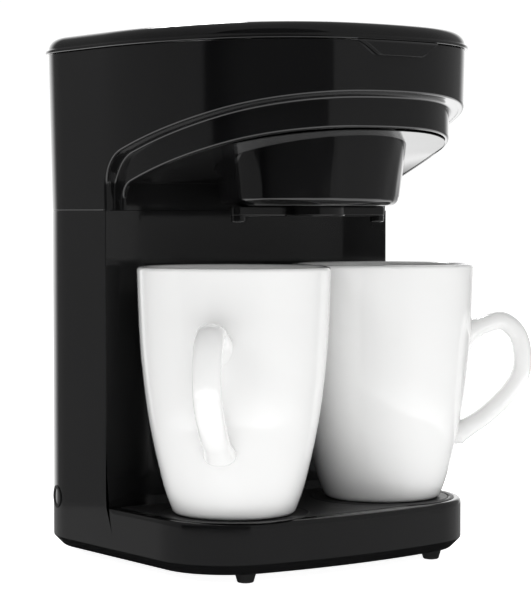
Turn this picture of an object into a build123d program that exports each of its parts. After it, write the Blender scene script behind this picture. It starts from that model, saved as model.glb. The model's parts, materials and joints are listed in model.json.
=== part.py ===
"""Two-mug drip coffee maker.

Frame: +Z up, the front faces -Y, X = 0 is the machine's plane of symmetry. The origin is on the
surface it stands on, at the centre of its four feet. Everything is in millimetres.
"""
from build123d import *
import math
import os

# ---- driving dimensions ------------------------------------------------------------------
HEIGHT = 237.5            # feet to the crown of the lid
HALF_WIDTH = 80.0         # column half width at the seam between the two housings
BACK_Y = 72.8             # rear face of the column
BACK_CORNER = 34.0        # radius of the column's rear corners
COLUMN_FRONT_Y = 3.0      # front edges of the column
PANEL_Y = 13.5            # recessed centre panel behind the mugs
PANEL_HALF = 54.0         # half width of that panel
SEAM_Z = 158.0            # lower housing meets upper housing
RIM_Z = 229.0             # upper housing meets the lid
HEAD_FRONT_Y = -100.0     # foremost point of the head at the seam's level
SIDE_RADIUS = 160.0       # the head's plan: sides that draw in, round shoulders, a bowed front
SHOULDER_RADIUS = 62.0
FRONT_RADIUS = 128.0
BASE_Z = 4.2              # underside of the base
BASE_TOP_Z = 26.7         # rim of the base in front of the column
BASE_FRONT_Y = -77.8
BASE_CORNER = 36.0
BASE_FRONT_RADIUS = 300.0
BASE_CHAMFER = 4.4
BASE_DECK_T = 5.2         # top of the base, thick enough for the mug plate's pocket
PANEL_GAP, PANEL_RIB_X = 0.1, 40.0
REAR_HALF, REAR_GAP = 44.0, 0.1                                 # rear cover of the column
REAR_LIP, REAR_LIP_T = 4.0, 1.8
WALL = 2.4
FLARE = 1.6               # the upper housing widens this much on its way up to the rim

BAND_INSET = 5.5          # the band under the head stands in from the housing
BAND_WALL = 2.0
LEDGE_T = 2.0             # ledge that joins the band to the housing's lower edge
HEAD_EDGE = [(-9.5, 184.0), (-56.0, 197.7), (-110.0, 209.4)]    # (y, z) of the housing's lower edge
BAND_EDGE = [(-8.0, 170.4), (-48.6, 182.8), (-110.0, 195.4)]    # (y, z) of the band's lower edge
UNDERSIDE = [(10.0, 171.2), (-40.0, 181.6), (-96.0, 192.8)]     # (y, z) of the head's underside
BAND_FOOT_Y = -2.0        # where the band turns down beside the recess

LID_FLANGE = 1.4          # the lid's rim stands out past the housing
LID_FLANGE_T = 1.8
LID_WALL = 2.0
LID_EDGE_RADIUS = 5.5
TAB_TOP, TAB_BOTTOM, TAB_DROP, TAB_OUT = 43.0, 25.0, 6.2, 3.6
HINGE_Y, HINGE_Z = 78.5, 226.4
KNUCKLE_R, PIN_R, PIN_CLEARANCE = 2.8, 1.3, 0.05
HINGE_X = 38.0            # centre of each lid lug
LUG_W, KNUCKLE_W, KNUCKLE_GAP = 12.0, 6.0, 0.4

DRUM_Y = -39.7            # axis of the filter cup
DRUM_R, DRUM_Z = 39.7, 160.0
DRUM_SLOPE = 0.125        # radius gained per mm of height
DECK_Z, DECK_T = 221.0, 2.0
DRUM_WALL = 2.0
OUTLET_X = 39.0           # each spout stands over the middle of a mug
OUTLET_Z = 155.4
SPOUT_R, SPOUT_BORE, SPOUT_Z = 3.2, 1.7, 152.9

TANK_FRONT_Y, TANK_BACK_Y, TANK_HALF = 29.0, 67.5, 71.0
TANK_Z, TANK_CORNER, TANK_WALL = 110.0, 27.0, 1.8
HEATER_IN = (-25.0, 42.0)
HEATER_OUT = (25.0, 24.5)
HEATER_TOP_Z, HEATER_BEND_Z = 84.0, 50.0
TUBE_R, TUBE_BORE, ROD_R = 5.0, 3.6, 3.6
HOSE_R = 6.8
RISER_R, RISER_BORE, RISER_Z = 3.4, 2.4, 96.0
WIRE_R = 1.3

FOOT_X, FOOT_Y, FOOT_R, FOOT_STEM_R = 52.0, 63.0, 4.6, 2.0
PLATE_INSET, PLATE_GAP, PLATE_T = 5.5, 0.35, 3.0
PLATE_TOP_Z = BASE_TOP_Z + 0.2
POCKET_BACK_Y = COLUMN_FRONT_Y - 2.0
NOTCH_HALF, RING_R = 6.0, 32.2
SCREWS = [(-46.0, -52.0), (46.0, -52.0), (-52.0, 52.0), (52.0, 52.0)]
SCREW_R, SCREW_HEAD_R, SCREW_SINK = 1.4, 3.1, 1.2
BOSS_R, BOSS_Z, BOSS_DEPTH, REAR_BOSS_Z = 3.6, 8.4, 11.6, 26.0
VENTS, VENT_PITCH, VENT_HALF = 7, 6.0, 20.0

SWITCH_Y, SWITCH_Z, SWITCH_W, SWITCH_H = 24.0, 52.0, 13.0, 19.0
ROCKER_TILT, ROCKER_PIN_R = 9.0, 0.9
ROCKER_X = HALF_WIDTH - 1.4
CORD_HOLE_Z, CORD_BUSH_R, CORD_HOLE_R = 27.0, 5.2, 3.6
CORD_ANGLE = 166.0        # direction the cord leaves, degrees from +X

MUG_R, MUG_FOOT_R, MUG_HEIGHT, MUG_WALL = 42.0, 26.0, 107.0, 3.6
MUG_SIDE = [(33.1, 22.0), (38.6, 52.0)]                         # (radius, z) on the way up
MUG_EAR = [(36.6, 73.0), (47.2, 78.9), (55.0, 80.6), (61.5, 75.0), (64.4, 66.0), (63.6, 56.5),
           (58.2, 47.5), (47.7, 37.4), (36.0, 30.0)]            # (radius, z) of the handle
MUG_EAR_WIDE, MUG_EAR_THICK = 6.2, 4.2
MUGS = {"mug_left": ((-43.2, -42.5), -135.5), "mug_right": ((43.2, -38.5), -37.0)}

PARTS = "parts"
FAR = 400.0               # longer than the machine, for cutting tools


# ---- outlines ----------------------------------------------------------------------------
def circle_point(centre, radius, degrees):
    a = math.radians(degrees)
    return (centre[0] + radius * math.cos(a), centre[1] + radius * math.sin(a))


def shoulder_centre():
    """Centre of the shoulder arc, which touches the side arc and the front arc."""
    side = (HALF_WIDTH - SIDE_RADIUS, COLUMN_FRONT_Y)
    front = (0.0, HEAD_FRONT_Y + FRONT_RADIUS)
    r1, r2 = SIDE_RADIUS - SHOULDER_RADIUS, FRONT_RADIUS - SHOULDER_RADIUS
    dx, dy = front[0] - side[0], front[1] - side[1]
    gap = math.hypot(dx, dy)
    along = (r1 ** 2 - r2 ** 2 + gap ** 2) / (2 * gap)
    across = math.sqrt(r1 ** 2 - along ** 2)
    x = side[0] + (along * dx + across * dy) / gap
    y = side[1] + (along * dy - across * dx) / gap
    return side, (x, y), front


def mirror_pair(points):
    return [(-x, y) for x, y in points]


def rear_lines(r, back, c, y_start):
    """Straight sides from y_start round the two rear corners."""
    s = c * math.sin(math.radians(45))
    right = [(r, back - c), (r - c + s, back - c + s), (r - c, back)]
    left = mirror_pair(right)
    lines = Line((r, y_start), right[0]) + ThreePointArc(*right)
    lines += Line(right[2], left[2]) + ThreePointArc(*reversed(left))
    return lines + Line(left[0], (-r, y_start))


def head_outline(grow):
    """Plan of the head and column: bowed front, round shoulders, sides that draw in."""
    side, shoulder, front = shoulder_centre()
    a_side = math.degrees(math.atan2(shoulder[1] - side[1], shoulder[0] - side[0]))
    a_front = math.degrees(math.atan2(shoulder[1] - front[1], shoulder[0] - front[0]))
    r = HALF_WIDTH + grow
    rs, rm, rf = SIDE_RADIUS + grow, SHOULDER_RADIUS + grow, FRONT_RADIUS + grow
    flank = [circle_point(side, rs, a) for a in (0, a_side / 2, a_side)]
    round_off = [circle_point(shoulder, rm, a) for a in (a_side, (a_side + a_front) / 2, a_front)]
    nose = [circle_point(front, rf, a) for a in (a_front, -90, -180 - a_front)]
    lines = ThreePointArc(*flank) + ThreePointArc(*round_off) + ThreePointArc(*nose)
    lines += ThreePointArc(*reversed(mirror_pair(round_off)))
    lines += ThreePointArc(*reversed(mirror_pair(flank)))
    lines += rear_lines(r, BACK_Y + grow, BACK_CORNER + grow, COLUMN_FRONT_Y)
    return make_face(lines)


def base_outline(grow):
    """Plan of the base: a slightly bowed front between rounded corners."""
    r = HALF_WIDTH + grow
    c = BASE_CORNER + grow
    big = BASE_FRONT_RADIUS + grow
    front = (0.0, BASE_FRONT_Y + BASE_FRONT_RADIUS)
    corner = (r - c, front[1] - math.sqrt((big - c) ** 2 - (r - c) ** 2))
    meet = math.degrees(math.atan2(corner[1] - front[1], corner[0]))
    nose = [circle_point(front, big, a) for a in (-180 - meet, -90, meet)]
    right = [circle_point(corner, c, a) for a in (meet, meet / 2, 0)]
    lines = ThreePointArc(*nose) + ThreePointArc(*right)
    lines += ThreePointArc(*reversed(mirror_pair(right)))
    lines += rear_lines(r, BACK_Y + grow, BACK_CORNER + grow, corner[1])
    return make_face(lines)


def slab(outline, z0, z1):
    """An outline raised from z0 to z1."""
    return extrude(Pos(0, 0, z0) * outline, z1 - z0)


def recess_front(inset):
    """Everything in front of the column's hollow front face, moved back by inset."""
    y0, y1 = COLUMN_FRONT_Y + inset, PANEL_Y + inset
    edge = HALF_WIDTH + 0.01
    points = [(-FAR, -FAR), (FAR, -FAR), (FAR, y0), (edge, y0), (PANEL_HALF, y1)]
    points += [(-x, y) for x, y in reversed(points)]
    return make_face(Polyline(*points, close=True))


def side_cut(lines):
    """A closed outline in the side view, as a tool that cuts right across the machine."""
    side = Plane(origin=(0, 0, 0), x_dir=(0, 1, 0), z_dir=(1, 0, 0)) * make_face(lines)
    return Pos(-FAR / 2, 0, 0) * extrude(side, FAR)


def under_edge(edge, corner_y):
    """What lies under an edge line that turns down, through a tangent arc, at corner_y."""
    rise = ThreePointArc(*edge)
    slope = rise % 0
    half_turn = math.atan2(-slope.X, slope.Y) / 2
    y0, z0 = edge[0]
    foot = (corner_y, z0 - (corner_y - y0) / math.tan(half_turn))
    bend = TangentArc(foot, (y0, z0), tangent=(0, 1))
    y2, z2 = edge[-1]
    far = [(y2, z2), (y2 - FAR, z2), (y2 - FAR, 0), (corner_y, 0), foot]
    return side_cut(rise + bend + Polyline(*far))


def under_line(edge):
    """What lies under a line that runs right through the head."""
    (y0, z0), (y2, z2) = edge[0], edge[-1]
    far = [(y2, z2), (y2 - FAR, z2), (y2 - FAR, 0), (y0, 0), (y0, z0)]
    return side_cut(ThreePointArc(*edge) + Polyline(*far))


def raised(edge, dz):
    return [(y, z + dz) for y, z in edge]


def cylinder(x, y, z0, z1, r):
    return Pos(x, y, (z0 + z1) / 2) * Cylinder(r, z1 - z0)


def cone(x, y, z0, z1, r0, r1):
    return Pos(x, y, (z0 + z1) / 2) * Cone(r0, r1, z1 - z0)


def box(x0, x1, y0, y1, z0, z1):
    return Pos((x0 + x1) / 2, (y0 + y1) / 2, (z0 + z1) / 2) * Box(x1 - x0, y1 - y0, z1 - z0)


def pipe(path, r, bore=0.0):
    """A round bar or tube along a path."""
    start = Plane(origin=path @ 0, z_dir=path % 0)
    ring = Circle(r) - Circle(bore) if bore else Circle(r)
    return sweep(start * ring, path=path)


# ---- housings ----------------------------------------------------------------------------
def cord_frame():
    """Where the cord leaves, on the rounded rear left corner, with z along the cord."""
    a = math.radians(CORD_ANGLE)
    r = BACK_CORNER
    x = -(HALF_WIDTH - BACK_CORNER) + r * math.cos(a)
    y = BACK_Y - BACK_CORNER + r * math.sin(a)
    return Plane(origin=(x, y, CORD_HOLE_Z), z_dir=(math.cos(a), math.sin(a), 0))


def base_shell():
    """Base band and the deck that the column stands on, open underneath."""
    deck_z = BASE_TOP_Z - BASE_DECK_T
    shell = slab(base_outline(0), BASE_Z, BASE_TOP_Z)
    shell = chamfer(shell.edges().group_by(Axis.Z)[0], BASE_CHAMFER)
    hollow = slab(base_outline(-WALL), BASE_Z, deck_z)
    shell -= chamfer(hollow.edges().group_by(Axis.Z)[0], BASE_CHAMFER)
    shell -= slab(head_outline(-WALL) - recess_front(WALL), deck_z, BASE_TOP_Z)
    pocket = slab(base_outline(-PLATE_INSET), PLATE_TOP_Z - PLATE_T, BASE_TOP_Z)
    shell -= pocket & box(-FAR, FAR, -FAR, POCKET_BACK_Y, 0, FAR)
    for x, y in SCREWS:
        top = deck_z
        if y > 0:
            top = REAR_BOSS_Z
            shell += box(x - BOSS_R / 2, x + BOSS_R / 2, y, BACK_Y - WALL, BOSS_Z, top)
        shell += cylinder(x, y, BOSS_Z, top, BOSS_R)
        shell -= cylinder(x, y, BASE_Z, BOSS_Z + BOSS_DEPTH, SCREW_R + 0.1)
    return shell - cord_frame() * Cylinder(CORD_BUSH_R, 10 * WALL)


def column_sides():
    """Left and right side of the column, each with its rounded rear corner, flush on the base."""
    column = head_outline(0) - recess_front(0) - head_outline(-WALL)
    shell = slab(column, BASE_TOP_Z, SEAM_Z)
    shell -= box(-REAR_HALF, REAR_HALF, BACK_Y - 2 * WALL, BACK_Y + 1, BASE_TOP_Z, SEAM_Z)
    half_w, half_h = SWITCH_W / 2, SWITCH_H / 2
    shell -= box(HALF_WIDTH - 2 * WALL, HALF_WIDTH + 1, SWITCH_Y - half_w, SWITCH_Y + half_w,
                 SWITCH_Z - half_h, SWITCH_Z + half_h)
    shell -= cord_frame() * Cylinder(CORD_BUSH_R, 10 * WALL)
    return [shell & box(-FAR, 0, -FAR, FAR, 0, FAR), shell & box(0, FAR, -FAR, FAR, 0, FAR)]


def column_back():
    """Flat rear cover between the column's sides, with a lip that laps behind each of them."""
    half, inside = REAR_HALF - REAR_GAP, BACK_Y - WALL
    cover = box(-half, half, inside, BACK_Y, BASE_TOP_Z, SEAM_Z)
    low, high = BASE_TOP_Z + 4, SEAM_Z - 4
    for side in (-1, 1):
        x0, x1 = sorted((side * (half - REAR_LIP), side * half))
        cover += box(x0, x1, inside - REAR_LIP_T, inside, low, high)
        x0, x1 = sorted((side * half, side * (half + REAR_LIP)))
        cover += box(x0, x1, inside - REAR_LIP_T, inside - 2 * REAR_GAP, low, high)
    return cover


def column_panel():
    """Hollow front of the column behind the mugs, set in between the column's sides."""
    front = head_outline(-WALL - PANEL_GAP) - recess_front(0)
    plate = slab(front, BASE_TOP_Z, SEAM_Z) & slab(recess_front(WALL), BASE_TOP_Z, SEAM_Z)
    back = PANEL_Y + WALL
    for x in (-PANEL_RIB_X, PANEL_RIB_X):
        plate += box(x - 1, x + 1, back, back + 3, BASE_TOP_Z + 12, SEAM_Z - 18)
    return plate


def base_plate():
    """Bottom cover, inside the chamfered edge, with vent slots."""
    thick = 2.2
    plate = slab(base_outline(-WALL - BASE_CHAMFER - 0.3), BASE_Z, BASE_Z + thick)
    for x, y in SCREWS:
        plate -= cylinder(x, y, BASE_Z, BASE_Z + thick, SCREW_R + 0.4)
        plate -= cylinder(x, y, BASE_Z, BASE_Z + SCREW_SINK, SCREW_HEAD_R + 0.3)
    for x, y in foot_places():
        plate -= cylinder(x, y, BASE_Z, BASE_Z + thick, FOOT_STEM_R + 0.1)
    for i in range(VENTS):
        y = VENT_PITCH * (i - (VENTS - 1) / 2)
        plate -= box(-VENT_HALF, VENT_HALF, y - 1, y + 1, BASE_Z, BASE_Z + thick)
    return plate


def foot_places():
    return [(sx * FOOT_X, sy * FOOT_Y) for sx in (-1, 1) for sy in (-1, 1)]


def feet():
    """Four rubber feet, each with a barbed stem through the bottom cover."""
    one = cone(0, 0, 0, BASE_Z, FOOT_R - 1.0, FOOT_R)
    one += cylinder(0, 0, BASE_Z, BASE_Z + 3.2, FOOT_STEM_R)
    one += cylinder(0, 0, BASE_Z + 2.3, BASE_Z + 3.6, FOOT_STEM_R + 0.6)
    return [Pos(x, y, 0) * one for x, y in foot_places()]


def base_screws():
    """Self-tapping screws that hold the bottom cover."""
    head = cylinder(0, 0, BASE_Z + 0.1, BASE_Z + SCREW_SINK, SCREW_HEAD_R)
    for slot in (Box(4.4, 0.8, 1.0), Box(0.8, 4.4, 1.0)):
        head -= Pos(0, 0, BASE_Z + 0.2) * slot
    screw = head + cylinder(0, 0, BASE_Z + SCREW_SINK, BOSS_Z + BOSS_DEPTH - 3.0, SCREW_R)
    return [Pos(x, y, 0) * screw for x, y in SCREWS]


def mug_plate():
    """Lift-out plate that the mugs stand on, with drip channels and a finger notch."""
    plate = slab(base_outline(-PLATE_INSET - PLATE_GAP), PLATE_TOP_Z - PLATE_T, PLATE_TOP_Z)
    plate &= box(-FAR, FAR, -FAR, POCKET_BACK_Y - PLATE_GAP, 0, FAR)
    for (x, y), _ in MUGS.values():
        ring = cylinder(x, y, PLATE_TOP_Z - 0.8, PLATE_TOP_Z, RING_R + 0.8)
        plate -= ring - cylinder(x, y, PLATE_TOP_Z - 0.8, PLATE_TOP_Z, RING_R - 0.8)
    notch_back = BASE_FRONT_Y + PLATE_INSET + 5.0
    plate -= box(-NOTCH_HALF, NOTCH_HALF, BASE_FRONT_Y, notch_back, 0, PLATE_TOP_Z)
    return plate


def upper_housing():
    """Outer skin of the head and of the column above the seam, with the hinge knuckles."""
    taper = -math.degrees(math.atan(FLARE / (RIM_Z - SEAM_Z)))
    height = RIM_Z - SEAM_Z
    skin = extrude(Pos(0, 0, SEAM_Z) * head_outline(0), height, taper=taper)
    skin -= extrude(Pos(0, 0, SEAM_Z) * head_outline(-WALL), height, taper=taper)
    skin -= under_edge(HEAD_EDGE, COLUMN_FRONT_Y)
    for side in (-1, 1):
        for end in (-1, 1):
            x = side * HINGE_X + end * (LUG_W / 2 + KNUCKLE_GAP + KNUCKLE_W / 2)
            ear = Pos(x, HINGE_Y, HINGE_Z) * Rot(0, 90, 0) * Cylinder(KNUCKLE_R, KNUCKLE_W)
            web = box(x - KNUCKLE_W / 2, x + KNUCKLE_W / 2, BACK_Y, HINGE_Y,
                      HINGE_Z - KNUCKLE_R, HINGE_Z + 2.0)
            skin += ear + web
            skin -= Pos(x, HINGE_Y, HINGE_Z) * Rot(0, 90, 0) * Cylinder(PIN_R, KNUCKLE_W)
    skin -= slab(head_outline(-WALL - 0.4), RIM_Z - 12, RIM_Z)
    return skin


def head_band():
    """Inset band under the head with the ledge that meets the housing's lower edge."""
    top = 216.0
    inner = head_outline(-BAND_INSET - BAND_WALL)
    band = slab(head_outline(-BAND_INSET), SEAM_Z, top) - slab(inner, SEAM_Z, top)
    band -= under_edge(BAND_EDGE, BAND_FOOT_Y)
    ledge = slab(head_outline(-WALL - 0.2), SEAM_Z, top) - slab(inner, SEAM_Z, top)
    ledge -= under_edge(HEAD_EDGE, COLUMN_FRONT_Y)
    both = (band + ledge) & under_edge(raised(HEAD_EDGE, LEDGE_T), COLUMN_FRONT_Y + LEDGE_T)
    return both & box(-FAR, FAR, -FAR, COLUMN_FRONT_Y + LEDGE_T, SEAM_Z, FAR)


def head_underside():
    """Underside of the head, which turns down at the back into the top of the recess."""
    thick = 2.0
    inside = slab(head_outline(-BAND_INSET - BAND_WALL), SEAM_Z, 216.0)
    roof = inside & under_line(raised(UNDERSIDE, thick))
    roof -= under_line(UNDERSIDE)
    roof &= box(-FAR, FAR, -FAR, PANEL_Y + WALL, 0, FAR)
    top = UNDERSIDE[0][1] + 1.2
    wall = slab(head_outline(-BAND_INSET - BAND_WALL) - recess_front(0), SEAM_Z, top)
    wall &= slab(recess_front(WALL), SEAM_Z, top)
    edge = slab(head_outline(-WALL - 0.2), SEAM_Z, top)
    edge -= slab(head_outline(-BAND_INSET - BAND_WALL), SEAM_Z, top)
    edge &= box(-FAR, FAR, COLUMN_FRONT_Y + LEDGE_T, COLUMN_FRONT_Y + LEDGE_T + WALL, 0, FAR)
    roof += wall + edge
    roof -= cone(0, DRUM_Y, DRUM_Z, DECK_Z, DRUM_R + 0.05, drum_radius(DECK_Z) + 0.05)
    return roof


# ---- filter ------------------------------------------------------------------------------
def drum_radius(z):
    return DRUM_R + (z - DRUM_Z) * DRUM_SLOPE


def brew_drum():
    """Tapered cup under the head that holds the filter basket."""
    drum = cone(0, DRUM_Y, DRUM_Z, DECK_Z, DRUM_R, drum_radius(DECK_Z))
    floor = DRUM_Z + DRUM_WALL
    drum -= cone(0, DRUM_Y, floor, DECK_Z, drum_radius(floor) - DRUM_WALL,
                 drum_radius(DECK_Z) - DRUM_WALL)
    drum -= cylinder(0, DRUM_Y, DRUM_Z, floor, 6.0)
    return drum


def outlet_channel():
    """Covered channel under the cup that splits the coffee between two spouts."""
    def bar(r, z0, z1):
        link = box(-OUTLET_X, OUTLET_X, DRUM_Y - r, DRUM_Y + r, z0, z1)
        return link + cylinder(-OUTLET_X, DRUM_Y, z0, z1, r) + cylinder(OUTLET_X, DRUM_Y, z0, z1, r)
    body = bar(3.4, OUTLET_Z, DRUM_Z) + cylinder(0, DRUM_Y, OUTLET_Z, DRUM_Z, 16.0)
    body -= bar(1.7, OUTLET_Z + 1.6, DRUM_Z)
    body -= cylinder(0, DRUM_Y, OUTLET_Z + 1.6, DRUM_Z, 14.0)
    for x in (-OUTLET_X, OUTLET_X):
        body += cylinder(x, DRUM_Y, SPOUT_Z, OUTLET_Z + 1.0, SPOUT_R)
        body -= cylinder(x, DRUM_Y, SPOUT_Z, OUTLET_Z + 2.0, SPOUT_BORE)
    return body


BASKET_Z = DRUM_Z + DRUM_WALL + 0.6
BASKET_TOP = DECK_Z + DECK_T
BASKET_GAP = 0.9


def basket_radius(z):
    return drum_radius(z) - DRUM_WALL - BASKET_GAP


def filter_basket():
    """Lift-out funnel that stands in the cup, hung by its rim on the deck."""
    wall = 1.6
    floor = BASKET_Z + wall
    cup = cone(0, DRUM_Y, BASKET_Z, BASKET_TOP, basket_radius(BASKET_Z), basket_radius(BASKET_TOP))
    cup += cylinder(0, DRUM_Y, BASKET_TOP, BASKET_TOP + 1.6, drum_radius(BASKET_TOP) + 1.6)
    cup -= cone(0, DRUM_Y, floor, BASKET_TOP + 1.6, basket_radius(floor) - wall,
                basket_radius(BASKET_TOP) - wall)
    cup += cylinder(0, DRUM_Y, DRUM_Z + 0.6, BASKET_Z, 4.6)
    cup -= cylinder(0, DRUM_Y, DRUM_Z, floor, 2.6)
    for i in range(6):
        rib = box(8.0, basket_radius(BASKET_Z) - 3, -0.8, 0.8, floor, floor + 2.4)
        cup += Pos(0, DRUM_Y, 0) * Rot(0, 0, 60 * i) * rib
    return cup


FILTER_Z = BASKET_Z + 5.0
FILTER_TOP = BASKET_TOP + 1.6
FILTER_BOTTOM_R = 20.0
FILTER_R = basket_radius(FILTER_TOP) - 2.2
FILTER_RIBS = 8
FILTER_EAR_R = FILTER_R - 4.4      # the two ears that carry the bail handle
FILTER_PIVOT_Z = FILTER_TOP - 1.4
BAIL_PIN_R = 0.8


def filter_frame():
    """Plastic cage of the permanent filter: rim, ribs and bottom disc."""
    rim = cylinder(0, DRUM_Y, FILTER_TOP - 3.0, FILTER_TOP, FILTER_R)
    rim += cylinder(0, DRUM_Y, FILTER_TOP, FILTER_TOP + 0.9, FILTER_R + 2.6)
    rim -= cylinder(0, DRUM_Y, FILTER_TOP - 3.0, FILTER_TOP + 0.9, FILTER_R - 2.2)
    disc = cylinder(0, DRUM_Y, FILTER_Z, FILTER_Z + 1.8, FILTER_BOTTOM_R)
    outer = cone(0, DRUM_Y, FILTER_Z, FILTER_TOP, FILTER_BOTTOM_R, FILTER_R)
    inner = cone(0, DRUM_Y, FILTER_Z, FILTER_TOP, FILTER_BOTTOM_R - 1.8, FILTER_R - 1.8)
    frame = rim + disc
    for i in range(FILTER_RIBS):
        rib = Rot(0, 0, 360 / FILTER_RIBS * (i + 0.5)) * box(0, FAR, -1.1, 1.1, FILTER_Z, FILTER_TOP)
        frame += Pos(0, DRUM_Y, 0) * rib & (outer - inner)
    for turn in (0, 180):
        ear = box(FILTER_EAR_R - 1.1, FILTER_EAR_R + 1.1, -2.4, 2.4, FILTER_TOP - 3.0, FILTER_TOP + 0.9)
        ear += box(FILTER_EAR_R, FILTER_R - 1.2, -2.4, 2.4, FILTER_TOP - 0.2, FILTER_TOP + 0.9)
        frame += Pos(0, DRUM_Y, 0) * Rot(0, 0, turn) * ear
    pivot = Pos(0, DRUM_Y, FILTER_PIVOT_Z) * Rot(0, 90, 0)
    return frame - pivot * Cylinder(BAIL_PIN_R + PIN_CLEARANCE, 2 * FILTER_EAR_R + 2.4)


def filter_mesh():
    """Fine nylon mesh, held inside the cage's ribs."""
    shift = 1.85
    outer = cone(0, DRUM_Y, FILTER_Z + 1.8, FILTER_TOP - 3.0,
                 mesh_radius(FILTER_Z + 1.8) - shift, mesh_radius(FILTER_TOP - 3.0) - shift)
    inner = cone(0, DRUM_Y, FILTER_Z + 1.8, FILTER_TOP - 3.0,
                 mesh_radius(FILTER_Z + 1.8) - shift - 0.5,
                 mesh_radius(FILTER_TOP - 3.0) - shift - 0.5)
    return outer - inner


def mesh_radius(z):
    share = (z - FILTER_Z) / (FILTER_TOP - FILTER_Z)
    return FILTER_BOTTOM_R + (FILTER_R - FILTER_BOTTOM_R) * share


def filter_handle():
    """Bail handle of the filter, folded down to the front."""
    inner, outer = FILTER_R - 9.0, FILTER_R - 6.4
    middle = (inner + outer) / 2
    bow = extrude(Circle(outer) - Circle(inner), 1.1, both=True) & box(-FAR, FAR, -FAR, 0, -5, 5)
    for side in (-1, 1):
        bow += Pos(side * middle, 0, 0) * Rot(0, 90, 0) * Cylinder(1.6, outer - inner)
        bow += Pos(side * (outer + 1.2), 0, 0) * Rot(0, 90, 0) * Cylinder(BAIL_PIN_R, 4.2)
    return Pos(0, DRUM_Y, FILTER_PIVOT_Z) * bow


# ---- water path --------------------------------------------------------------------------
def tank_outline(inset):
    half, y0, y1 = TANK_HALF - inset, TANK_FRONT_Y + inset, TANK_BACK_Y - inset
    c, f = TANK_CORNER - inset, 6.0 - inset
    corners = Rectangle(2 * half, y1 - y0)
    face = Pos(0, (y0 + y1) / 2) * corners
    rear = face.vertices().group_by(Axis.Y)[-1]
    face = fillet(rear, c)
    return fillet(face.vertices().group_by(Axis.Y)[0], max(f, 1.0))


def water_tank():
    """Open-topped tank in the back of the head and column, with a sump at its outlet."""
    x, y = HEATER_IN
    tank = slab(tank_outline(0), TANK_Z, DECK_Z)
    tank += cylinder(x, y, TANK_Z - 8, TANK_Z, 5.2)
    tank -= slab(tank_outline(TANK_WALL), TANK_Z + TANK_WALL, DECK_Z)
    tank -= cylinder(x, y, TANK_Z - 8, TANK_Z + TANK_WALL, 3.6)
    for i in range(4):
        z = 140.0 + 20.0 * i
        tank += box(-8, 8, TANK_FRONT_Y + TANK_WALL, TANK_FRONT_Y + TANK_WALL + 0.6, z, z + 1.0)
    return tank


def top_deck():
    """Deck under the lid with the openings of the filter cup and the riser."""
    deck = slab(head_outline(-WALL), DECK_Z, DECK_Z + DECK_T)
    deck &= box(-FAR, FAR, -FAR, TANK_FRONT_Y + TANK_WALL, 0, FAR)
    deck -= cone(0, DRUM_Y, DECK_Z, DECK_Z + DECK_T, basket_radius(DECK_Z) + BASKET_GAP,
                 basket_radius(DECK_Z + DECK_T) + BASKET_GAP)
    deck -= cylinder(*HEATER_OUT, DECK_Z, DECK_Z + DECK_T, RISER_R + 0.1)
    return deck


def tank_rim():
    """Collar that closes the gap between the tank's mouth and the housing."""
    rim = slab(head_outline(-WALL), DECK_Z, DECK_Z + DECK_T)
    rim &= box(-FAR, FAR, TANK_FRONT_Y + TANK_WALL, FAR, 0, FAR)
    return rim - slab(tank_outline(TANK_WALL), DECK_Z, DECK_Z + DECK_T)


def tank_seal():
    """Silicone sleeve round the tank's outlet spigot."""
    x, y = HEATER_IN
    z0, z1 = TANK_Z - 7.0, TANK_Z - 0.5
    return cylinder(x, y, z0, z1, 7.0) - cylinder(x, y, z0, z1, 5.25)


def check_valve():
    """Valve body under the tank that lets water run one way only."""
    x, y = HEATER_IN
    z0, z1 = TANK_Z - 16.0, TANK_Z - 8.0
    valve = cylinder(x, y, z0, z1, 6.0) - cylinder(x, y, z0, z1, 3.0)
    valve += cylinder(x, y, z0 - 4, z0, 4.2) - cylinder(x, y, z0 - 4, z0, 3.0)
    return valve


def hose(place, z0, z1, bore):
    x, y = place
    return cylinder(x, y, z0, z1, HOSE_R) - cylinder(x, y, z0, z1, bore)


def heater_path(drop, out):
    """U-shaped line in the upright plane through both heater legs, moved out from it."""
    (x0, y0), (x1, y1) = HEATER_IN, HEATER_OUT
    span = math.hypot(x1 - x0, y1 - y0)
    plane = Plane(origin=((x0 + x1) / 2, (y0 + y1) / 2, 0),
                  x_dir=((x1 - x0) / span, (y1 - y0) / span, 0),
                  z_dir=((y1 - y0) / span, -(x1 - x0) / span, 0)).offset(out)
    r = span / 2
    top = HEATER_TOP_Z - drop
    line = Line((-r, top), (-r, HEATER_BEND_Z))
    line += ThreePointArc((-r, HEATER_BEND_Z), (0, HEATER_BEND_Z - r), (r, HEATER_BEND_Z))
    line += Line((r, HEATER_BEND_Z), (r, top))
    return plane * Wire(line.edges())


ROD_OFFSET = TUBE_R + ROD_R + 0.2


def water_tube():
    """Aluminium water passage of the heater."""
    return pipe(heater_path(0, 0), TUBE_R, TUBE_BORE)


def heating_element():
    """Sheathed heating rod brazed alongside the water passage, with its two terminal pins."""
    path = heater_path(10, -ROD_OFFSET)
    rod = pipe(path, ROD_R)
    for end in (path @ 0, path @ 1):
        rod += cylinder(end.X, end.Y, end.Z, end.Z + 9.0, 1.3)
    return rod


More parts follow.
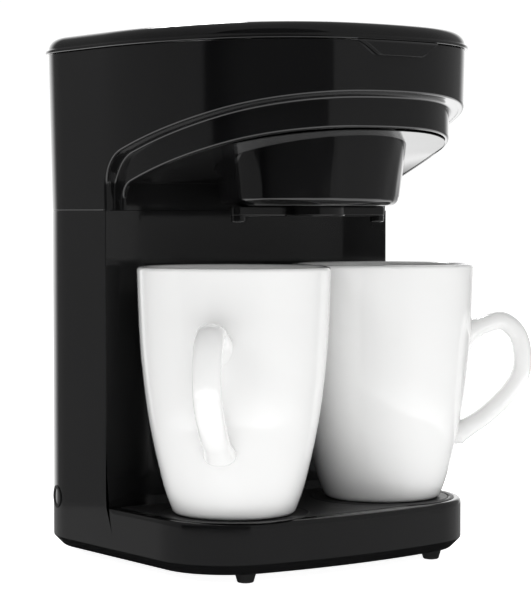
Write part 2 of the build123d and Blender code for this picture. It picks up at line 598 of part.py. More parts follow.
def heater_clamps():
    """Two straps that hold rod and water passage together."""
    straps = []
    (x0, y0), (x1, y1) = HEATER_IN, HEATER_OUT
    span = math.hypot(x1 - x0, y1 - y0)
    nx, ny = -(y1 - y0) / span, (x1 - x0) / span
    turn = math.degrees(math.atan2(y1 - y0, x1 - x0))
    for x, y in (HEATER_IN, HEATER_OUT):
        cx, cy = x + nx * ROD_OFFSET / 2, y + ny * ROD_OFFSET / 2
        ring = Pos(cx, cy, 62.0) * Rot(0, 0, turn) * Box(12.4, ROD_OFFSET + 11.0, 8.0)
        ring -= cylinder(x, y, 50, 70, TUBE_R + 0.05)
        ring -= cylinder(x + nx * ROD_OFFSET, y + ny * ROD_OFFSET, 50, 70, ROD_R + 0.05)
        straps.append(ring)
    return straps


def riser_tube():
    """Steel tube that carries hot water up past the tank to the deck."""
    x, y = HEATER_OUT
    top = DECK_Z + DECK_T + 1.5
    return cylinder(x, y, RISER_Z, top, RISER_R) - cylinder(x, y, RISER_Z, top, RISER_BORE)


def outlet_hose():
    """Silicone hose from the heater's outlet to the riser."""
    x, y = HEATER_OUT
    low, top = HEATER_TOP_Z - 8.0, RISER_Z + 8.0
    body = cylinder(x, y, low, top, HOSE_R)
    body -= cylinder(x, y, low, HEATER_TOP_Z, TUBE_R + 0.05)
    body -= cylinder(x, y, HEATER_TOP_Z, RISER_Z, RISER_BORE + 0.4)
    body -= cylinder(x, y, RISER_Z, top, RISER_R + 0.05)
    return body


# ---- electrics ---------------------------------------------------------------------------
def thermostat():
    """Disc thermostat held against the bottom of the heater."""
    y = (HEATER_IN[1] + HEATER_OUT[1]) / 2
    flange_z = 9.4
    can = cylinder(0, y, flange_z + 1.6, 18.0, 8.0)
    can += cylinder(0, y, flange_z, flange_z + 1.6, 9.6)
    for x in (-8.2, 8.2):
        can += box(x - 1.2, x + 1.2, y - 1.2, y + 1.2, flange_z - 2.5, flange_z)
    return can


def thermal_fuses():
    """Two one-shot thermal fuses beside the heater."""
    fuse = Rot(0, 90, 0) * Cylinder(2.0, 11.0) + Rot(0, 90, 0) * Cylinder(0.6, 20.0)
    return [Pos(0, y, z) * fuse for y, z in ((50.0, 30.0), (50.0, 38.0))]


def terminal_block():
    """Three-way screw terminal inside the cord entry."""
    block = box(-66, -46, 30, 42, 10, 20)
    for i in range(3):
        block -= cylinder(-62.0 + 6.0 * i, 36, 14, 20, 2.0)
    return block


def internal_wires():
    """Insulated leads between terminal block, switch and heater."""
    routes = [
        [(-56, 42, 15), (-56, 46.5, 15), (36, 46.5, 12), (45, 24, 18), (45, 24, 46), (55, 24, 46)],
        [(-50, 42, 17), (-50, 46.5, 17), (-36, 51, 36), (-36, 51, 90), (-22.1, 50.3, 90),
         (-22.1, 50.3, 83.6)],
        [(55, 24, 58), (46, 24, 58), (46, 38, 70), (46, 38, 92), (27.9, 32.8, 92),
         (27.9, 32.8, 83.6)],
    ]
    wires = []
    for points in routes:
        wires.append(pipe(FilletPolyline(*points, radius=4.0), WIRE_R))
    return wires


def switch_housing():
    """Frame and case of the mains switch in the right wall."""
    x_out = HALF_WIDTH + 1.2
    w, h = SWITCH_W - 0.3, SWITCH_H - 0.3
    y, z = SWITCH_Y, SWITCH_Z
    case = box(62, HALF_WIDTH, y - w / 2, y + w / 2, z - h / 2, z + h / 2)
    case += box(HALF_WIDTH, x_out, y - w / 2 - 1.5, y + w / 2 + 1.5, z - h / 2 - 1.5, z + h / 2 + 1.5)
    case -= box(70.5, x_out, y - w / 2 + 1.2, y + w / 2 - 1.2, z - h / 2 + 1.2, z + h / 2 - 1.2)
    for i in range(3):
        zt = z - 6 + 6 * i
        case += box(55, 62, y - 3, y + 3, zt - 0.5, zt + 0.5)
    pivot = Pos(ROCKER_X, y, z) * Rot(90, 0, 0)
    return case - pivot * Cylinder(ROCKER_PIN_R + PIN_CLEARANCE, w)


def switch_rocker():
    """Rocker of the mains switch, lower half pressed in."""
    half = SWITCH_H / 2 - 2.2
    rise = half * math.tan(math.radians(ROCKER_TILT))
    face = make_face(Polyline((-5.0, -2.6), (1.2 + rise, -half), (1.2, 0), (1.2 + rise, half),
                              (-5.0, 2.6), close=True))
    side = Plane(origin=(0, SWITCH_W / 2 - 1.9, 0), x_dir=(1, 0, 0), z_dir=(0, -1, 0)) * face
    body = extrude(side, SWITCH_W - 3.8) + Rot(90, 0, 0) * Cylinder(ROCKER_PIN_R, SWITCH_W - 1.0)
    return Pos(ROCKER_X, SWITCH_Y, SWITCH_Z) * Rot(0, ROCKER_TILT, 0) * body


def cord_bush():
    """Rubber bush that lines the cord's way out through the shell, flush outside."""
    length, flange_t = 4.4, 1.6
    bush = Pos(0, 0, 0.2 - length / 2) * Cylinder(CORD_BUSH_R - 0.05, length)
    bush += Pos(0, 0, 0.2 - length) * Cylinder(CORD_BUSH_R + 1.6, flange_t)
    return cord_frame() * (bush - Cylinder(CORD_HOLE_R, 20))


# ---- lid ---------------------------------------------------------------------------------
def lid():
    """Hinged lid: domed cover, thin rim, thumb tab in front and two hinge lugs behind."""
    out = FLARE + LID_FLANGE
    cover = slab(head_outline(FLARE), RIM_Z, HEIGHT)
    cover = fillet(cover.edges().group_by(Axis.Z)[-1], LID_EDGE_RADIUS)
    cover += slab(head_outline(out), RIM_Z, RIM_Z + LID_FLANGE_T)
    cover -= slab(head_outline(FLARE - LID_WALL), RIM_Z, HEIGHT - LID_WALL)
    tab = make_face(Polyline((-TAB_TOP / 2, RIM_Z + 1), (TAB_TOP / 2, RIM_Z + 1),
                             (TAB_BOTTOM / 2, RIM_Z - TAB_DROP), (-TAB_BOTTOM / 2, RIM_Z - TAB_DROP),
                             close=True))
    upright = Plane(origin=(0, HEAD_FRONT_Y + 6, 0), x_dir=(1, 0, 0), z_dir=(0, -1, 0)) * tab
    blade = extrude(upright, 20) & slab(head_outline(FLARE + TAB_OUT), RIM_Z - 20, RIM_Z + 1)
    blade -= slab(head_outline(FLARE + 0.4), RIM_Z - 20, RIM_Z)
    cover += blade
    for side in (-1, 1):
        x = side * HINGE_X
        lug = box(x - LUG_W / 2, x + LUG_W / 2, BACK_Y + FLARE + 0.6, HINGE_Y + 1.5,
                  RIM_Z, RIM_Z + LID_FLANGE_T)
        lug += box(x - LUG_W / 2, x + LUG_W / 2, HINGE_Y - 2.0, HINGE_Y + 1.5, HINGE_Z, RIM_Z + 1)
        lug += Pos(x, HINGE_Y, HINGE_Z) * Rot(0, 90, 0) * Cylinder(KNUCKLE_R, LUG_W)
        cover += lug
        cover -= Pos(x, HINGE_Y, HINGE_Z) * Rot(0, 90, 0) * Cylinder(PIN_R + PIN_CLEARANCE, LUG_W)
    return cover


def lid_channel():
    """Channel under the lid that leads water from the riser to the middle of the basket."""
    (x0, y0), (x1, y1) = HEATER_OUT, (0.0, DRUM_Y)
    length = math.hypot(x1 - x0, y1 - y0)
    turn = math.degrees(math.atan2(y1 - y0, x1 - x0))
    z0, z1 = RIM_Z - 2.2, HEIGHT - LID_WALL
    body = Pos(length / 2, 0, (z0 + z1) / 2) * Box(length + 12, 12, z1 - z0)
    body -= Pos(length / 2, 0, (z0 + z1) / 2 + 1) * Box(length + 9, 9, z1 - z0)
    body -= Pos(0, 0, z0) * Cylinder(4.4, 6)
    body -= Pos(length, 0, z0) * Cylinder(3.0, 6)
    return Pos(x0, y0, 0) * Rot(0, 0, turn) * body


def hinge_pins():
    """Steel pins, fast in the housing's knuckles, that the lid turns on."""
    length = LUG_W + 2 * KNUCKLE_GAP + 2 * KNUCKLE_W
    return [Pos(side * HINGE_X, HINGE_Y, HINGE_Z) * Rot(0, 90, 0) * Cylinder(PIN_R, length)
            for side in (-1, 1)]


# ---- mugs --------------------------------------------------------------------------------
def mug():
    """Tall tapered mug with a foot ring and an ear-shaped handle along +X."""
    h, w = MUG_HEIGHT, MUG_WALL
    neck, lip_z = (MUG_R - 0.3, h - 12), h - 1.6
    lowest = (MUG_FOOT_R + 1.0, 1.5)
    floor = [(20.0, 8.2), (0, 7.4)]
    side = Spline(lowest, *MUG_SIDE, neck, tangents=[(0.55, 0.83), (0.0, 1.0)])
    side += Line(neck, (MUG_R, lip_z))
    side += ThreePointArc((MUG_R, lip_z), (MUG_R - w / 2, h), (MUG_R - w, lip_z))
    inner = Spline((MUG_R - w, lip_z), *[(r - w, z) for r, z in reversed(MUG_SIDE)], floor[0],
                   tangents=[(0.0, -1.0), (-1.0, -0.15)])
    hollow_z, ring_r = 2.0, MUG_FOOT_R - 3.0
    side += inner + Polyline(*floor, (0, hollow_z), (ring_r - 0.5, hollow_z), (ring_r, 0),
                             (MUG_FOOT_R, 0), lowest)
    body = revolve(Plane.XZ * make_face(side), Axis.Z)
    loop = Plane.XZ * Spline(*MUG_EAR)
    start = Plane(origin=loop @ 0, z_dir=loop % 0, x_dir=(0, 1, 0))
    handle = sweep(start * Ellipse(MUG_EAR_WIDE, MUG_EAR_THICK), path=loop)
    mouth = inner + Polyline(*floor, (0, h), (MUG_R - w, h), (MUG_R - w, lip_z))
    return body + (handle - revolve(Plane.XZ * make_face(mouth), Axis.Z))


def main():
    column_left, column_right = column_sides()
    nodes = {
        "base_shell": base_shell(),
        "column_left": column_left,
        "column_right": column_right,
        "column_back": column_back(),
        "column_panel": column_panel(),
        "base_plate": base_plate(),
        "feet": feet(),
        "base_screws": base_screws(),
        "mug_plate": mug_plate(),
        "upper_housing": upper_housing(),
        "head_band": head_band(),
        "head_underside": head_underside(),
        "brew_drum": brew_drum(),
        "outlet_channel": outlet_channel(),
        "filter_basket": filter_basket(),
        "filter_frame": filter_frame(),
        "filter_mesh": filter_mesh(),
        "filter_handle": filter_handle(),
        "top_deck": top_deck(),
        "water_tank": water_tank(),
        "tank_rim": tank_rim(),
        "tank_seal": tank_seal(),
        "check_valve": check_valve(),
        "inlet_hose": hose(HEATER_IN, HEATER_TOP_Z - 8, TANK_Z - 16.2, TUBE_R + 0.05),
        "water_tube": water_tube(),
        "heating_element": heating_element(),
        "heater_clamps": heater_clamps(),
        "outlet_hose": outlet_hose(),
        "riser_tube": riser_tube(),
        "thermostat": thermostat(),
        "thermal_fuses": thermal_fuses(),
        "terminal_block": terminal_block(),
        "internal_wires": internal_wires(),
        "switch_housing": switch_housing(),
        "switch_rocker": switch_rocker(),
        "cord_bush": cord_bush(),
        "hinge_pins": hinge_pins(),
        "lid": lid(),
        "lid_channel": lid_channel(),
    }
    cup = mug()
    for name, ((x, y), turn) in MUGS.items():
        nodes[name] = Pos(x, y, PLATE_TOP_Z) * Rot(0, 0, turn) * cup
    os.makedirs(PARTS, exist_ok=True)
    for name, shape in nodes.items():
        if isinstance(shape, list):
            shape = Compound(children=shape)
        export_step(shape, f"{PARTS}/{name}.step")


main()
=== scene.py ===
"""Looks of the drip coffee maker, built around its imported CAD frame. Lengths are in millimetres
inside the shape functions and become metres when a mesh is made."""
import bpy
import bmesh
import json
import math
import numpy as np
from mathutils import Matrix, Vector

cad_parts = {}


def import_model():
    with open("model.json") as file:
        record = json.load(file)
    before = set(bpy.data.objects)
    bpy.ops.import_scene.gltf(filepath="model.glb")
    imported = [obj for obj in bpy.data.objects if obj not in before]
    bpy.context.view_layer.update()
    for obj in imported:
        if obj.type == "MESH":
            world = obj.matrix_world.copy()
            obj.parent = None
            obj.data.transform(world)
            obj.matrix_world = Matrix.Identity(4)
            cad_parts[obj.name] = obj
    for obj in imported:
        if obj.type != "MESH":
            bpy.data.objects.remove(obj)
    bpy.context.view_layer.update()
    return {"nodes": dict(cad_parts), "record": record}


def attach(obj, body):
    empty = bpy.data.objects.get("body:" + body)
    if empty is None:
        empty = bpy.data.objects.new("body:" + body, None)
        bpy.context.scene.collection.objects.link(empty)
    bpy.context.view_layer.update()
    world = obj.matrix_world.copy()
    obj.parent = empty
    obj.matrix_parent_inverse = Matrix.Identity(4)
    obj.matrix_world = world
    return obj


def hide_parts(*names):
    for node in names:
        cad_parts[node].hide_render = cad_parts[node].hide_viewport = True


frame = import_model()
NODES = frame["nodes"]

# ---- sizes shared with the CAD model (mm) --------------------------------------------------
SEAM_Z, RIM_Z, HEIGHT = 158.0, 229.0, 237.5
COLUMN_Y, PANEL_Y, PANEL_HALF, HALF = 3.0, 13.5, 54.0, 80.0
BACK_Y, BACK_R, REAR_HALF = 72.8, 34.0, 44.0
HEAD_FRONT, SIDE_R, SHOULDER_R, FRONT_R = -100.0, 160.0, 62.0, 128.0
FLARE, WALL = 1.6, 2.4
HEAD_EDGE = [(-9.5, 184.0), (-56.0, 197.7), (-110.0, 209.4)]
BAND_EDGE = [(-8.0, 170.4), (-48.6, 182.8), (-110.0, 195.4)]
UNDERSIDE = [(10.0, 171.2), (-40.0, 181.6), (-96.0, 192.8)]
BAND_GROW, BAND_WALL, BAND_FOOT = -5.5, 2.0, -2.0
BASE_Z, BASE_TOP, BASE_FRONT, BASE_R, BASE_BOW, CHAMFER = 4.2, 26.7, -77.8, 36.0, 300.0, 4.4
PLATE_TOP = 26.9
DRUM_Y, DRUM_R, DRUM_Z, DRUM_SLOPE = -39.7, 39.7, 160.0, 0.125
OUTLET_X, OUTLET_Z, SPOUT_Z = 39.0, 155.4, 152.9
HINGE_Y, HINGE_Z, HINGE_X, LUG_HALF, KNUCKLE_HALF = 78.5, 226.4, 38.0, 6.0, 3.0
MUGS = {"mug_left": (-43.2, -42.5, -135.5), "mug_right": (43.2, -38.5, -37.0)}
MUG_R, MUG_H, MUG_WALL = 42.0, 107.0, 3.6
BAND_TOP, BAND_R, DECK_Z, DRUM_TOP = 212.0, 1.3, 214.0, 221.0
FOOT_X, FOOT_Y, PLATE_T, RING_R = 52.0, 63.0, 3.0, 32.2
SIDES = ((-1, "left"), (1, "right"))
MM = 0.001


# ---- materials -----------------------------------------------------------------------------
def node(tree, kind, **values):
    """New shader node with its settings and input values."""
    n = tree.nodes.new(kind)
    for key, value in values.items():
        if hasattr(n, key):
            setattr(n, key, value)
        else:
            n.inputs[key.replace("_", " ")].default_value = value
    return n


def material(name, color, rough, rough_spread=0.05, metallic=0.0, ior=1.5, coat=0.0,
             grain=(900.0, 0.05), wave=(90.0, 0.0), tint=0.15, smudge=35.0, alpha=1.0,
             transmission=0.0, stretch=(1, 1, 1), wave_stretch=(1, 1, 1), wave_depth=0.001):
    """Plastic, metal or glaze with uneven roughness, colour drift and two scales of relief."""
    mat = bpy.data.materials.new(name)
    mat.use_nodes = True
    tree = mat.node_tree
    shader = tree.nodes["Principled BSDF"]
    link = tree.links.new
    shader.inputs["Metallic"].default_value = metallic
    shader.inputs["IOR"].default_value = ior
    shader.inputs["Coat Weight"].default_value = coat
    shader.inputs["Coat Roughness"].default_value = 0.04
    shader.inputs["Alpha"].default_value = alpha
    shader.inputs["Transmission Weight"].default_value = transmission
    place = node(tree, "ShaderNodeTexCoord")
    scaled = node(tree, "ShaderNodeMapping")
    scaled.inputs["Scale"].default_value = stretch
    link(place.outputs["Object"], scaled.inputs["Vector"])
    # colour drift; inputs 0, 6 and 7 of a colour mix are its factor and its two colours
    drift = node(tree, "ShaderNodeTexNoise", Scale=28.0, Detail=3.0)
    link(scaled.outputs["Vector"], drift.inputs["Vector"])
    ramp = tree.nodes.new("ShaderNodeMix")
    ramp.data_type = "RGBA"
    dark = [c * (1.0 - tint) for c in color]
    light = [min(1.0, c * (1.0 + tint)) for c in color]
    ramp.inputs[6].default_value = (*dark, 1)
    ramp.inputs[7].default_value = (*light, 1)
    link(drift.outputs["Fac"], ramp.inputs[0])
    link(ramp.outputs[2], shader.inputs["Base Color"])
    # handling marks in the roughness
    marks = node(tree, "ShaderNodeTexNoise", Scale=smudge, Detail=6.0, Roughness=0.6)
    link(scaled.outputs["Vector"], marks.inputs["Vector"])
    spread = node(tree, "ShaderNodeMapRange")
    spread.inputs["From Min"].default_value = 0.3
    spread.inputs["From Max"].default_value = 0.75
    spread.inputs["To Min"].default_value = max(0.02, rough - rough_spread)
    spread.inputs["To Max"].default_value = rough + rough_spread
    link(marks.outputs["Fac"], spread.inputs["Value"])
    link(spread.outputs["Result"], shader.inputs["Roughness"])
    # moulding relief: fine grain, and a slow wave
    fine = node(tree, "ShaderNodeTexNoise", Scale=grain[0], Detail=2.0)
    slow = node(tree, "ShaderNodeTexNoise", Scale=wave[0], Detail=1.0)
    link(scaled.outputs["Vector"], fine.inputs["Vector"])
    eased = node(tree, "ShaderNodeMapping")
    eased.inputs["Scale"].default_value = wave_stretch
    link(place.outputs["Object"], eased.inputs["Vector"])
    link(eased.outputs["Vector"], slow.inputs["Vector"])
    bump_a = node(tree, "ShaderNodeBump", Strength=grain[1], Distance=0.0002)
    bump_b = node(tree, "ShaderNodeBump", Strength=wave[1], Distance=wave_depth)
    link(fine.outputs["Fac"], bump_a.inputs["Height"])
    link(slow.outputs["Fac"], bump_b.inputs["Height"])
    link(bump_a.outputs["Normal"], bump_b.inputs["Normal"])
    link(bump_b.outputs["Normal"], shader.inputs["Normal"])
    return mat


MATS = {
    "black_shell": material("black_shell", (0.0048, 0.0048, 0.005), 0.10, 0.03, coat=0.25,
                            grain=(500.0, 0.02), wave=(60.0, 0.02), tint=0.25),
    "black_drum": material("black_drum", (0.0048, 0.0048, 0.005), 0.09, 0.03, coat=0.3,
                           grain=(500.0, 0.02), wave=(60.0, 0.6), tint=0.25,
                           wave_stretch=(1.0, 1.0, 0.25), wave_depth=0.004),
    # the panel black is about three times lighter than the shell's black: painted fill light that
    # lifts the shade of the column's hollow and of the head's underside
    "black_gloss_panel": material("black_gloss_panel", (0.014, 0.014, 0.0143), 0.10, 0.03,
                                  grain=(400.0, 0.015), wave=(40.0, 0.06), tint=0.2),
    "black_matte": material("black_matte", (0.012, 0.012, 0.0123), 0.40, 0.06,
                            grain=(2600.0, 0.5), tint=0.25),
    "foot_rubber": material("foot_rubber", (0.014, 0.014, 0.014), 0.6, 0.08, grain=(1500.0, 0.35)),
    "steel_plain": material("steel_plain", (0.55, 0.55, 0.54), 0.34, 0.08, metallic=1.0,
                            grain=(800.0, 0.2)),
    "steel_bright": material("steel_bright", (0.68, 0.68, 0.67), 0.2, 0.06, metallic=1.0,
                             grain=(700.0, 0.25), stretch=(1, 1, 0.05)),
    "aluminium": material("aluminium", (0.72, 0.72, 0.73), 0.36, 0.08, metallic=1.0,
                          grain=(900.0, 0.3)),
    "mesh_nylon": material("mesh_nylon", (0.42, 0.27, 0.12), 0.5, 0.08, alpha=0.82,
                           grain=(3000.0, 0.6)),
    "silicone": material("silicone", (0.72, 0.70, 0.66), 0.38, 0.06, transmission=0.15,
                         grain=(1200.0, 0.15)),
    "white_plastic": material("white_plastic", (0.78, 0.77, 0.73), 0.4, 0.08, grain=(1500.0, 0.3)),
    "wire_sleeve": material("wire_sleeve", (0.68, 0.66, 0.6), 0.6, 0.1, grain=(2500.0, 0.9)),
    "rocker_red": material("rocker_red", (0.42, 0.012, 0.01), 0.18, 0.05, coat=0.3,
                           transmission=0.1, grain=(600.0, 0.05)),
    "white_glaze": material("white_glaze", (0.84, 0.84, 0.835), 0.12, 0.03, coat=0.6,
                            grain=(300.0, 0.01), wave=(35.0, 0.04), tint=0.015),
}


# ---- mesh helpers --------------------------------------------------------------------------
def metres(verts):
    return [(x * MM, y * MM, z * MM) for x, y, z in verts]


def make(name, verts, faces, mat, body, nodes=(), sharp=38.0, bevel=0.0, segments=3, look=None):
    """A piece from points in mm. Its faces are shaded smooth, with real edges kept."""
    mesh = bpy.data.meshes.new(name)
    mesh.from_pydata(metres(verts), [], faces)
    bm = bmesh.new()
    bm.from_mesh(mesh)
    bmesh.ops.remove_doubles(bm, verts=bm.verts, dist=2e-6)
    bmesh.ops.dissolve_degenerate(bm, edges=bm.edges, dist=1e-7)
    bmesh.ops.recalc_face_normals(bm, faces=bm.faces)
    bm.to_mesh(mesh)
    bm.free()
    for poly in mesh.polygons:
        poly.use_smooth = True
    obj = bpy.data.objects.new(name, mesh)
    bpy.context.scene.collection.objects.link(obj)
    mesh.materials.append(MATS[look or mat])
    if bevel:
        rounding = obj.modifiers.new("rounding", "BEVEL")
        rounding.width = bevel * MM
        rounding.segments = segments
        rounding.limit_method = "ANGLE"
        rounding.angle_limit = math.radians(32)
        rounding.harden_normals = True
        rounding.miter_outer = "MITER_ARC"
    else:
        mesh.set_sharp_from_angle(angle=math.radians(sharp))
        weighted = obj.modifiers.new("weighted", "WEIGHTED_NORMAL")
        weighted.keep_sharp = True
        weighted.weight = 80
    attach(obj, body)
    if nodes:
        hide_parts(*nodes)
    return obj


class Builder:
    """Collects surface patches into one vertex and face list."""

    def __init__(self):
        self.verts, self.faces = [], []

    def grid(self, rows, close_u=False):
        """Quads between rows of equally many points; close_u joins each row's ends."""
        base = len(self.verts)
        nu = len(rows[0])
        for row in rows:
            self.verts += [tuple(p) for p in row]
        for v in range(len(rows) - 1):
            for u in range(nu - 1 + bool(close_u)):
                a, b = base + v * nu, base + (v + 1) * nu
                self.faces.append((a + u, a + (u + 1) % nu, b + (u + 1) % nu, b + u))

    def fan(self, ring, centre, steps=8, lift=lambda f: 0.0):
        """Closes a ring towards a centre with shrinking copies of itself."""
        rows = []
        for k in range(steps + 1):
            f = k / steps
            rows.append([(p[0] + (centre[0] - p[0]) * f, p[1] + (centre[1] - p[1]) * f,
                          p[2] + (centre[2] - p[2]) * f + lift(f)) for p in ring])
        self.grid(rows, close_u=True)


def circle_z(edge):
    """z of the circle through three (y, z) points, as a function of y."""
    (y0, z0), (y1, z1), (y2, z2) = edge
    d = 2 * (y0 * (z1 - z2) + y1 * (z2 - z0) + y2 * (z0 - z1))
    s0, s1, s2 = y0 * y0 + z0 * z0, y1 * y1 + z1 * z1, y2 * y2 + z2 * z2
    cy = (s0 * (z1 - z2) + s1 * (z2 - z0) + s2 * (z0 - z1)) / d
    cz = (s0 * (y2 - y1) + s1 * (y0 - y2) + s2 * (y1 - y0)) / d
    r = math.hypot(y0 - cy, z0 - cz)
    sign = 1.0 if z1 > cz else -1.0
    return lambda y: cz + sign * math.sqrt(max(0.0, r * r - (y - cy) ** 2))


ARC_STEP, FLAT_R = 0.25, 1e5         # spacing on an outline's arcs; radius of its straight back


class Plan:
    """Right half of a closed outline, from the front centre round to the rear centre."""

    def __init__(self, arcs):
        """Arcs are (centre, radius, first angle, last angle), one after the other."""
        xs, ys, nxs, nys = [], [], [], []
        for (cx, cy), r, a0, a1 in arcs:
            n = max(4, int(abs(a1 - a0) / 360 * 2 * math.pi * r / ARC_STEP))
            for a in np.linspace(math.radians(a0), math.radians(a1), n):
                xs.append(cx + r * math.cos(a))
                ys.append(cy + r * math.sin(a))
                nxs.append(math.cos(a))
                nys.append(math.sin(a))
        self.x, self.y = np.array(xs), np.array(ys)
        self.nx, self.ny = np.array(nxs), np.array(nys)
        self.s = np.concatenate([[0], np.cumsum(np.hypot(np.diff(self.x), np.diff(self.y)))])
        self.length = float(self.s[-1])

    def at(self, s, grow=0.0):
        """Point at length s, moved out by grow, and the outward normal there."""
        x, y = np.interp(s, self.s, self.x), np.interp(s, self.s, self.y)
        nx, ny = np.interp(s, self.s, self.nx), np.interp(s, self.s, self.ny)
        return float(x + grow * nx), float(y + grow * ny), float(nx), float(ny)

    def s_at_y(self, y, grow=0.0):
        """Length at which the grown outline passes y on its way back."""
        front = self.s < self.length * 0.8
        return float(np.interp(y, (self.y + grow * self.ny)[front], self.s[front]))


def head_plan():
    """The head from above: bowed sides and front, joined by round shoulders."""
    side, front = (HALF - SIDE_R, COLUMN_Y), (0.0, HEAD_FRONT + FRONT_R)
    r1, r2 = SIDE_R - SHOULDER_R, FRONT_R - SHOULDER_R
    dx, dy = front[0] - side[0], front[1] - side[1]
    gap = math.hypot(dx, dy)
    along = (r1 ** 2 - r2 ** 2 + gap ** 2) / (2 * gap)
    across = math.sqrt(r1 ** 2 - along ** 2)
    mid = (side[0] + (along * dx + across * dy) / gap, side[1] + (along * dy - across * dx) / gap)
    a_side = math.degrees(math.atan2(mid[1] - side[1], mid[0] - side[0]))
    a_front = math.degrees(math.atan2(mid[1] - front[1], mid[0] - front[0]))
    corner = (HALF - BACK_R, BACK_Y - BACK_R)
    return Plan([(front, FRONT_R, -90, a_front), (mid, SHOULDER_R, a_front, a_side),
                 (side, SIDE_R, a_side, 0), (corner, BACK_R, 0, 90),
                 ((0, BACK_Y - FLAT_R), FLAT_R, 90, 90)])


def base_plan():
    """The base from above: straight sides, a bowed front and round corners."""
    centre = (0.0, BASE_FRONT + BASE_BOW)
    cx = HALF - BASE_R
    cy = centre[1] - math.sqrt((BASE_BOW - BASE_R) ** 2 - cx ** 2)
    meet = math.degrees(math.atan2(cy - centre[1], cx))
    corner = (HALF - BACK_R, BACK_Y - BACK_R)
    return Plan([(centre, BASE_BOW, -90, meet), ((cx, cy), BASE_R, meet, 0),
                 (corner, BACK_R, 0, 90), ((0, BACK_Y - FLAT_R), FLAT_R, 90, 90)])


HEAD, BASE = head_plan(), base_plan()


def mirrored(points):
    """A half path of points from X = 0 to X = 0, closed by its mirror image."""
    return list(points) + [(-p[0], *p[1:]) for p in reversed(points[1:-1])]


def both_sides(half):
    """A half path of points from X = 0 outwards, led in by its mirror image."""
    return [(-p[0], *p[1:]) for p in reversed(half[1:])] + half


def spread(a, b, step):
    """Equal steps of about the given length from a to b, without b itself."""
    n = max(1, int(round(abs(b - a) / step)))
    return [a + (b - a) * i / n for i in range(n)]


def ring(plan, grow, z, step=2.0):
    """Closed ring of points; z is a number or a function of (x, y)."""
    out = []
    for s in spread(0.0, plan.length, step) + [plan.length]:
        x, y, _, _ = plan.at(s, grow)
        out.append((x, y, z(x, y) if callable(z) else z))
    return mirrored(out)


def turned_edge(plan, edge, foot_y, grow, z_end):
    """Half path of (s, z) along an edge line, which rounds down at foot_y and runs to z_end."""
    line = circle_z(edge)
    y0 = edge[0][0]
    slope = line(y0 - 0.5) - line(y0 + 0.5)
    a = math.atan2(1.0, slope)
    foot_z = line(y0) - (foot_y - y0) / math.tan(a / 2)
    h = line(y0) - foot_z
    w = foot_y - y0
    r = (w * w + h * h) / (2 * w)
    path = []
    for s in spread(0.0, plan.s_at_y(y0, grow), 2.0):
        y = plan.at(s, grow)[1]
        path.append((s, line(y)))
    sweep = math.asin(min(1.0, h / r))
    for k in range(11):
        t = sweep * (1 - k / 10)
        path.append((plan.s_at_y(foot_y - r + r * math.cos(t), grow), foot_z + r * math.sin(t)))
    s_foot = path[-1][0]
    path += [(s_foot, z) for z in spread(foot_z, z_end, 2.0)[1:]] + [(s_foot, z_end)]
    return path


def path_normals(path):
    """Unit normals of a path in the (s, z) surface, to the side of smaller s and z."""
    out = []
    for i in range(len(path)):
        q0, q1 = path[max(0, i - 1)], path[min(len(path) - 1, i + 1)]
        ds, dz = q1[0] - q0[0], q1[1] - q0[1]
        length = math.hypot(ds, dz) or 1.0
        out.append((dz / length, -ds / length))
    return out


# ---- head ----------------------------------------------------------------------------------
def flare(z):
    """Growth of the head's outline from the seam up to the rim."""
    return FLARE * (z - SEAM_Z) / (RIM_Z - SEAM_Z)


